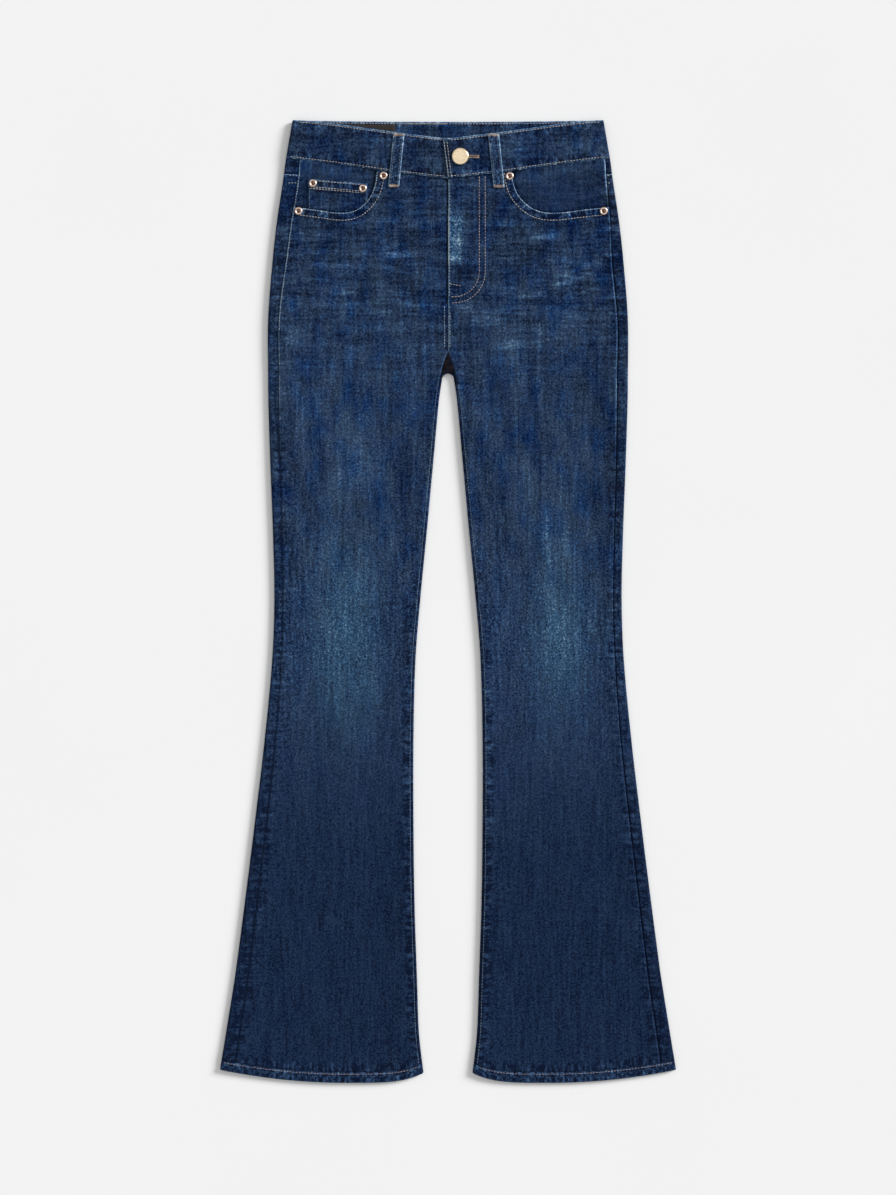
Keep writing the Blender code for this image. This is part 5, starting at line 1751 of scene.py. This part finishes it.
@dataclass
class Turned:
    """A piece turned about an upright axis: the button or a rivet."""

    name: str
    node: str
    profile: tuple[tuple[float, float], ...]
    finish: Material
    slot: Slot
    steps: int = 40
    hollow: float = 0.0

    def build(self) -> Made:
        """Turns the profile where its node lies, and marks its hollow middle."""
        low, high = (np.array(corner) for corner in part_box(self.node))
        centre = (low + high) / 2
        bm = bmesh.new()
        verts = [bm.verts.new((radius, 0.0, z)) for radius, z in self.profile]
        edges = [bm.edges.new(pair) for pair in zip(verts, verts[1:])]
        whole = {"cent": (0, 0, 0), "axis": (0, 0, 1), "angle": math.tau, "use_merge": True}
        bmesh.ops.spin(bm, geom=verts + edges, steps=self.steps, **whole)
        bmesh.ops.remove_doubles(bm, verts=bm.verts[:], dist=1e-6)
        bmesh.ops.recalc_face_normals(bm, faces=bm.faces[:])
        layer = bm.verts.layers.float.new("hollow")
        for vert in bm.verts:
            vert[layer] = 1.0 if vert.co.xy.length < self.hollow else 0.0
        bmesh.ops.translate(bm, vec=Vector((centre[0], centre[1], low[2])), verts=bm.verts[:])
        obj = made_object(self.name, bm, self.finish, self.slot)
        obj.data.set_sharp_from_angle(angle=math.radians(38))
        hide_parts(self.node)
        log.info("%s at %.3f, %.3f", self.name, centre[0], centre[1])
        return obj


@dataclass
class Sewing:
    """Rows of stitches in one thread, each stitch a small rounded body on the cloth."""

    name: str
    finish: Material
    pitch: float = 0.0033
    stitch: float = 0.0027
    width: float = 0.00085
    bm: bmesh.types.BMesh = field(default_factory=bmesh.new)
    count: int = 0

    def one(self, start: Array, end: Array, width: float | None = None) -> None:
        """Adds a stitch.

        Args:
            start: Where the thread comes out of the cloth.
            end: Where it goes back in.
            width: The thread's width, if not the usual one.
        """
        run = Vector(end - start)
        long = run.length
        if long < 1e-6:
            return
        thick = width or self.width
        turn = run.to_track_quat("X", "Z").to_matrix().to_4x4()
        size = Matrix.Diagonal((long * 0.56, thick / 2, thick * 0.40, 1.0))
        place = Matrix.Translation(Vector((start + end) / 2))
        bmesh.ops.create_icosphere(self.bm, subdivisions=1, radius=1.0, matrix=place @ turn @ size)
        self.count += 1

    def line(self, points: Array, pitch: float | None = None) -> None:
        """Sews along a line of points.

        Args:
            points: The line on the cloth, with a last axis of 3.
            pitch: The length of a stitch with its gap, if not the usual one.
        """
        pitch = pitch or self.pitch
        travelled = way_along(points)
        whole = int(travelled[-1] / pitch)
        part = self.stitch / self.pitch
        for k in range(whole):
            at = np.array([k * pitch, (k + part) * pitch])
            self.one(*points_at(points, travelled, at))

    def zigzag(self, start: Array, end: Array, half: Array, pitch: float, width: float) -> None:
        """Sews a dense zigzag between two places.

        Args:
            start: Middle of the first stitch.
            end: Middle of the last stitch.
            half: From the middle to one side of the zigzag.
            pitch: Distance between its stitches.
            width: The thread's width.
        """
        count = max(2, int(np.linalg.norm(end - start) / pitch))
        for k in range(count):
            here, after = mix(start, end, k / count), mix(start, end, (k + 0.5) / count)
            self.one(here - half, after + half, width)

    def build(self) -> Made:
        """Makes the object of all the stitches sewn so far."""
        log.info("%s: %d stitches", self.name, self.count)
        return made_object(self.name, self.bm, self.finish, Slot.DENIM)


@dataclass
class Needlework:
    """All the sewing of the garment, line by line."""

    wardrobe: Wardrobe
    rise: float = 0.00012
    under: float = 0.00018
    drawn_in: float = 0.00015
    grey_width: float = 0.0007
    fine_width: float = 0.0006
    edge_row: tuple[float, float] = (0.0007, 0.0028)
    inner_row: tuple[float, float] = (0.0082, 0.0033)
    coin_rows: tuple[float, ...] = (0.0016, 0.0086, 0.0104)
    fly_rows: tuple[float, ...] = (-0.0004, 0.0062)
    yoke_rows: tuple[float, ...] = (0.0018, 0.0100)
    yoke_rows_below: tuple[float, ...] = (0.0025, -0.0060)
    band_insets: tuple[float, float] = (0.0020, 0.0022)
    seat_rows: tuple[float, ...] = (-0.0022, 0.0022)
    back_pocket_rows: tuple[float, ...] = (0.0020, 0.0080)
    loop_rows: tuple[float, ...] = (0.30, -0.30)
    hem_row: float = 0.0096
    buttonhole_place: tuple[float, float, float] = (0.0222, 0.0332, 1.0186)

    def on(self, face: Callable, x: Array, height: Array, side: Side) -> Array:
        """Points of a line that lies on a face."""
        x, height = np.broadcast_arrays(x, height)
        return placed(x, height, face(x, height) + self.rise, side)

    def on_front(self, x: Array, height: Array, side: Side) -> Array:
        """Points of a line that lies on a front."""
        return self.on(lambda *place: LAID.front_face(*place, side), x, height, side)

    def pockets(self, edge: Sewing, inner: Sewing) -> None:
        """Both rows along each front pocket opening."""
        for side in Side:
            line = LAID.pocket_line(side, 120)
            way = np.gradient(line, axis=0)
            way = way / np.linalg.norm(way, axis=1, keepdims=True)
            into = np.stack([-np.abs(way[:, 1]), -np.abs(way[:, 0])], axis=-1)
            for thread, (depth, pitch) in ((edge, self.edge_row), (inner, self.inner_row)):
                row = line + depth * into
                seam = LAID.outseam(row[:, 1], side) - 0.001
                kept = (row[:, 0] < seam) & (row[:, 1] < LAID.band_lower(row[:, 0]) - 0.001)
                row = row[kept]
                thread.line(self.on_front(row[:, 0], row[:, 1], side), pitch)

    def coin(self, thread: Sewing, sides: Sewing, pocket: FrontPocket) -> None:
        """Rows round the coin pocket."""
        outer, inner = pocket.coin_outer[0], pocket.coin_inner[0]
        x = np.linspace(outer - 0.0015, inner + 0.0015, 60)
        for depth in self.coin_rows:
            thread.line(self.on(pocket.coin_face, x, pocket.coin_top(x) - depth, pocket.side))
        for x in (outer - self.coin_rows[0], inner + self.coin_rows[0]):
            low = LAID.pocket_edge(x, pocket.side) + 0.001
            height = np.linspace(low, pocket.coin_top(x) - 0.002, 20)
            sides.line(self.on(pocket.coin_face, x, height, pocket.side))

    def fly(self, thread: Sewing) -> None:
        """The two curved rows of the fly and the short one at its end."""
        corner_x, corner_height = LAID.fly_corner
        for inside in self.fly_rows:
            radius = LAID.fly_rounding - inside
            turn = np.radians(np.linspace(0, -90, 40))
            top = LAID.band_lower(0.038) - 0.002
            x = np.concatenate([
                np.full(20, LAID.fly_width - inside),
                corner_x + radius * np.cos(turn),
                np.linspace(corner_x, 0.0020, 8)[1:],
            ])
            height = np.concatenate([
                np.linspace(top, corner_height, 21)[:-1],
                corner_height + radius * np.sin(turn),
                np.full(7, corner_height - radius),
            ])
            thread.line(self.on_front(x, height, Side.LEFT))
        x = np.linspace(0.0015, 0.0150, 10)
        thread.line(self.on_front(x, 0.8792 - 0.17 * x, Side.LEFT))

    def centre(self, thread: Sewing) -> None:
        """The row along the fly's edge and the centre seam below it."""
        height = np.linspace(LAID.fly_end - 0.004, LAID.crotch_front + 0.003, 30)
        thread.line(self.on_front(0.0020, height, Side.LEFT))
        thread.line(self.on_front(0.0040, height, Side.RIGHT))
        height = np.linspace(LAID.band_lower(0.0) - 0.002, LAID.fly_end + 0.004, 60)
        thread.line(self.on_front(0.0018, height, Side.LEFT))

    def band_rows(self, thread: Sewing) -> None:
        """Rows along both edges of the waistband, outside and inside, and across its end."""
        from_low, from_top = self.band_insets

        def back_top(x: Array) -> Array:
            """Height of the upper row at the back."""
            return LAID.length - BAND.back_dip * (1 - (x / 0.168) ** 2) - from_top

        for side, start in ((Side.RIGHT, 0.004), (Side.LEFT, 0.003)):
            low_x = np.linspace(start, 0.1745, 160)
            top_x = low_x * 0.960
            low, top = LAID.band_lower(low_x) + from_low, LAID.band_upper(top_x) - from_top
            for x, height in ((low_x, low), (top_x, top)):
                z = BAND.outer_face(x, side) - self.drawn_in + self.rise
                thread.line(placed(x, height, z, side))
        x = np.linspace(-0.160, 0.160, 200)
        inside = LAID.back_lift + BAND.wall + self.rise
        height = back_top(x)
        over_label = (x > -0.146) & (x < -0.057)
        thread.line(placed(x[~over_label & (x < 0)], height[~over_label & (x < 0)], inside))
        thread.line(placed(x[x > -0.057], height[x > -0.057], inside))
        share = np.linspace(0.03, 0.97, 20)
        low, high = float(LAID.band_lower(0.0)), float(LAID.band_upper(0.0))
        end_height = mix(low, high, share)
        edge = np.minimum(share, 1 - share) * (high - low)
        crown = BAND.crown * smooth(edge / 0.006) - BAND.edge_dip
        for inset in (0.0008, 0.0040):
            end_x = mix(BAND.overlap_low_end, BAND.overlap_top_end, share) + inset
            thread.line(placed(end_x, end_height, BAND.over_face + crown + self.rise))
        x = np.linspace(-0.165, 0.165, 200)
        low = mix(LAID.back_waist_centre, LAID.side_waist, np.abs(x) / 0.1754)
        for height in (low + from_low, back_top(x)):
            thread.line(placed(x, height, LAID.back_lift - self.rise))

    def hems(self, thread: Sewing) -> None:
        """The row round each hem."""
        for side in Side:
            outer, inner = LAID.outer(0.0098), LAID.inner(0.0098)
            x = np.linspace(outer - 0.003, inner + 0.003, 160)
            from_fold = np.minimum(outer - x, x - inner)
            z = LAID.leg_edge - 0.0006 * smooth(from_fold / LAID.sag_reach) + 0.0002 + self.rise
            height = LAID.bend_hem(x, self.hem_row)
            thread.line(placed(x, height, z, side))
            thread.line(placed(x, height, self.under, side))

    def outseam(self, thread: Sewing) -> None:
        """The ridge of the right outseam over the hip, rubbed pale."""
        height = np.linspace(0.8283, 1.0130, 80)
        x = LAID.outseam(height, Side.RIGHT) - 0.0010 + 0.0003 * np.sin(height * 420)
        on_facing = LAID.facing_face(x, height, Side.RIGHT)
        z = np.where(height > 0.9660, on_facing, LAID.front_face(x, height, Side.RIGHT))
        thread.line(placed(x, height, z + self.rise, Side.RIGHT), 0.0029)

    def inseams(self, thread: Sewing) -> None:
        """The row on each inseam."""
        for side in Side:
            height = np.linspace(LAID.hem_depth + 0.002, 0.770, 500)
            x = LAID.front_edge(height) + 0.0007
            thread.line(self.on_front(x, LAID.bend_hem(x, height), side))

    def yokes(self, thread: Sewing) -> None:
        """The two rows of each yoke seam where it comes round the side, and under the seat."""
        for side in Side:
            for below in self.yoke_rows:
                height = LAID.yoke_side - below
                seam, fold = float(LAID.outseam(height, side)), float(LAID.outer(height))
                x = np.linspace(seam + 0.001, fold - 0.0022, 12)
                thread.line(self.on(LAID.plain_front, x, height, side))
            x = np.linspace(0.004, 0.172, 80)
            for shift in self.yoke_rows_below:
                height = mix(LAID.yoke_centre, LAID.yoke_side, x / 0.178) + shift
                thread.line(placed(x, height, LAID.back_lift - self.rise, side))

    def seat(self, thread: Sewing) -> None:
        """Rows of the seat seam and the back pockets, on the underside."""
        height = np.linspace(0.800, LAID.yoke_centre - 0.003, 60)
        for x in self.seat_rows:
            thread.line(placed(x, height, LAID.seat_face(height) - self.rise))
        for side in Side:
            pocket = BackPocket(side, self.wardrobe.denim)
            for inset in self.back_pocket_rows:
                x, rise = pocket.grid(24, 25, inset)
                x, rise = (np.concatenate([at[::-1, 0], at[0], at[:, -1]]) for at in (x, rise))
                thread.line(placed(x, rise, self.under, side))

    def loops(self, thread: Sewing, tacks: Sewing, loops: Sequence[BeltLoop]) -> None:
        """Edge rows of the belt loops, and the tacks at their ends."""
        tack_half = np.array([0.0, 0.0019, 0.0])
        for loop in loops:

            def on_loop(x: Array, height: Array) -> Array:
                """Points of a line on this loop."""
                z = loop.face(x, height) + self.rise if loop.front else self.under
                return placed(x, height, z, loop.side)

            low, high = loop.ends()
            height = np.linspace(low + 0.002, high - 0.002, 30)
            for across in self.loop_rows:
                thread.line(on_loop(loop.middle(height) + across * BAND.loop_width, height))
            for end in (low + 0.0014, high - 0.0016):
                x = loop.middle(end) + np.array([-0.0052, 0.0052])
                start, stop = on_loop(x, np.full(2, end))
                tacks.zigzag(start, stop, tack_half, pitch=0.0009, width=0.0008)

    def crotch(self, thread: Sewing) -> None:
        """Painted shade between the legs: a dense patch of near-black stitches over the back's
        fold, which lies in shadow under the crotch.
        """
        radius = LAID.leg_edge / 2
        for height in np.arange(LAID.crotch_fold + 0.0006, LAID.crotch_front - 0.0020, 0.0015):
            half = LAID.front_edge(height) - 0.0004
            for k, x in enumerate(np.arange(-half, half, 0.0010)):
                ends = np.array([[x, height + 0.0003 * (k % 2)], [x + 0.0005, height + 0.0019]])
                depth = np.hypot(ends[:, 0], ends[:, 1] - LAID.notch_start) - LAID.crotch_radius
                turn = np.arccos(np.clip(1 - depth / radius, 0.0, 1.0))
                points = placed(ends[:, 0], ends[:, 1], radius * (1 + np.sin(turn)) + 0.0001)
                if depth.min() > 0:
                    thread.one(points[0], points[1], 0.0010)

    def buttonhole(self, thread: Sewing) -> None:
        """The satin stitches round the buttonhole."""
        x0, x1, height = self.buttonhole_place
        z = BAND.over_face + 0.00025
        satin = {"pitch": 0.0006, "width": 0.00055}
        for side in (0.0010, -0.0010):
            start, end = (placed(x, height + side, z) for x in (x0, x1))
            thread.zigzag(start, end, np.array([0.0, 0.0009, 0.0]), **satin)
        end = placed(x1 + 0.0004, height, z)
        rise = np.array([0.0, 0.0018, 0.0])
        thread.zigzag(end - rise, end + rise, np.array([0.0007, 0.0, 0.0]), **satin)

    def build(self, pocket: FrontPocket, loops: Sequence[BeltLoop]) -> list[Made]:
        """Sews every line.

        Args:
            pocket: The right front pocket, which has the coin pocket.
            loops: All the belt loops.

        Returns:
            One object for each thread.
        """
        finishes = self.wardrobe.threads
        sewn = {name: Sewing(f"stitches_{name}", finish) for name, finish in finishes.items()}
        sewn["grey"].width = self.grey_width
        sewn["fine"] = Sewing("stitches_fine", finishes["rust"], width=self.fine_width)
        self.pockets(sewn["pale"], sewn["beige"])
        self.coin(sewn["beige"], sewn["grey"], pocket)
        self.band_rows(sewn["beige"])
        self.fly(sewn["rust"])
        self.centre(sewn["pale"])
        self.hems(sewn["fine"])
        self.inseams(sewn["grey"])
        self.yokes(sewn["pale"])
        self.outseam(sewn["pale"])
        self.seat(sewn["rust"])
        self.loops(sewn["grey"], sewn["brown"], loops)
        self.buttonhole(sewn["brown"])
        # Painted shade between the legs, sewn in the dark thread.
        self.crotch(sewn["dark"])
        return [thread.build() for thread in sewn.values()]


@dataclass
class Stage:
    """The pale floor, the soft light and the camera above."""

    photo_height: float = 1195.0
    pixel: float = 0.0011
    middle_pixel: float = 597.5
    lowest_pixel: float = 1083.0
    distance: float = 3.2
    sensor: float = 36.0
    floor_size: float = 8.0
    sky_overhead: float = 0.90
    sky_around: float = 0.22
    key_power: float = 3.88
    key_spread: float = 22.0
    key_from: tuple[float, float, float] = (0.80, 0.42, 0.42)

    def floor(self) -> Made:
        """Builds the floor."""
        bm = bmesh.new()
        bmesh.ops.create_grid(bm, x_segments=1, y_segments=1, size=self.floor_size / 2)
        bmesh.ops.translate(bm, vec=(0, 0, -0.0002), verts=bm.verts[:])
        nodes = Shader("floor_paper")
        cloudy = nodes.noise(nodes.place, 3.0, 2.0)
        colour = nodes.ramp(cloudy, ((0.0, (0.80, 0.80, 0.80)), (1.0, (0.82, 0.82, 0.82))))
        finish = nodes.surface({"Base Color": colour, "Roughness": 0.95, "Specular IOR Level": 0.0})
        obj = made_object("floor", bm, finish)
        return obj

    def light(self) -> None:
        """Adds a soft light all round and a soft key light from the upper right."""
        scene = bpy.context.scene
        world = bpy.data.worlds.new("studio")
        world.use_nodes = True
        nodes = NodeTree(world.node_tree)
        axes = nodes.add("SeparateXYZ", {"Vector": nodes.add("TexCoord").outputs["Generated"]})
        raised = nodes.math("POWER", nodes.math("MAXIMUM", axes.outputs[2], 0.0), 3.0)
        overhead = nodes.scaled(raised, self.sky_overhead, self.sky_around)
        background = nodes.add("Background", {"Color": (1.0, 1.0, 1.0, 1.0), "Strength": overhead})
        nodes.add("OutputWorld", {0: background.outputs[0]})
        scene.world = world
        key = bpy.data.lights.new("key", "SUN")
        key.energy = self.key_power
        key.angle = math.radians(self.key_spread)
        obj = bpy.data.objects.new("key", key)
        obj.rotation_euler = Vector(self.key_from).to_track_quat("Z", "Y").to_euler()
        scene.collection.objects.link(obj)
        scene.view_settings.view_transform = "Standard"

    def camera(self) -> None:
        """Adds the camera straight above, with the photograph's frame."""
        lens = bpy.data.cameras.new("camera")
        lens.sensor_width = self.sensor
        lens.lens = lens.sensor_width * self.distance / (self.photo_height * self.pixel)
        obj = bpy.data.objects.new("camera", lens)
        height = (self.lowest_pixel - self.middle_pixel) * self.pixel
        obj.location = (0.0, height - LAID.length / 2, self.distance + LAID.leg_edge)
        bpy.context.scene.collection.objects.link(obj)
        bpy.context.scene.camera = obj

    def build(self) -> None:
        """Sets the stage."""
        self.floor()
        self.light()
        self.camera()


BUTTON_PROFILE = (
    (0.0, 0.00490), (0.0020, 0.00492), (0.0045, 0.00500), (0.0062, 0.00515), (0.0070, 0.00528),
    (0.0077, 0.00532), (0.0084, 0.00522), (0.0090, 0.00490), (0.0093, 0.00440), (0.0092, 0.00385),
    (0.0086, 0.00330), (0.0078, 0.00270), (0.0056, 0.00235), (0.0023, 0.00230), (0.0023, 0.0),
    (0.0, 0.0),
)
RIVET_PROFILE = (
    (0.0, 0.00120), (0.0005, 0.00115), (0.0009, 0.00085), (0.0012, 0.00050), (0.0018, 0.00050),
    (0.0021, 0.00085), (0.0025, 0.00128), (0.0031, 0.00150), (0.0037, 0.00140), (0.0042, 0.00100),
    (0.0045, 0.00050), (0.0046, 0.00005), (0.0, 0.0),
)


RIVET_STEPS = 28
RIVET_HOLLOW = 0.0019
RIVETS = (
    "rivet_waist_right", "rivet_waist_left", "rivet_side_right", "rivet_side_left",
    "rivet_coin_outer", "rivet_coin_inner",
)
LOOP_PLACES = (
    ("front_right", -0.0539, -0.0598, True),
    ("front_left", 0.0500, 0.0562, True),
    ("back_centre", 0.0, 0.0, False),
    ("back_right", -0.098, -0.098, False),
    ("back_left", 0.098, 0.098, False),
)


def main() -> None:
    """Builds the garment's pieces in order, then the stage."""
    Stage().build()
    wardrobe = Wardrobe()
    denim = wardrobe.denim
    for side in Side:
        BackPanel(side, denim).build()
        BackPanel(side, denim).build(yoke=True)
        FrontPanel(side, denim).build()
        FrontPocket(side, wardrobe.denim_inside).facing()
        Hem(side, denim).build()
        BackPocket(side, denim).build()
    right_pocket = FrontPocket(Side.RIGHT, denim)
    right_pocket.coin_pocket()
    Waistband(denim).build()
    loops = [BeltLoop(f"belt_loop_{place}", *sizes, denim) for place, *sizes in LOOP_PLACES]
    for loop in loops:
        loop.build()
    WaistLabel(wardrobe.label).build()
    Turned("shank_button", "button", BUTTON_PROFILE, wardrobe.brass, Slot.BUTTON, steps=64).build()
    for node in RIVETS:
        rivet = Turned(f"turned_{node}", node, RIVET_PROFILE, wardrobe.copper, Slot.RIVET)
        rivet.steps, rivet.hollow = RIVET_STEPS, RIVET_HOLLOW
        rivet.build()
    Needlework(wardrobe).build(right_pocket, loops)
    Fly().build(wardrobe)


if __name__ == "__main__":
    main()
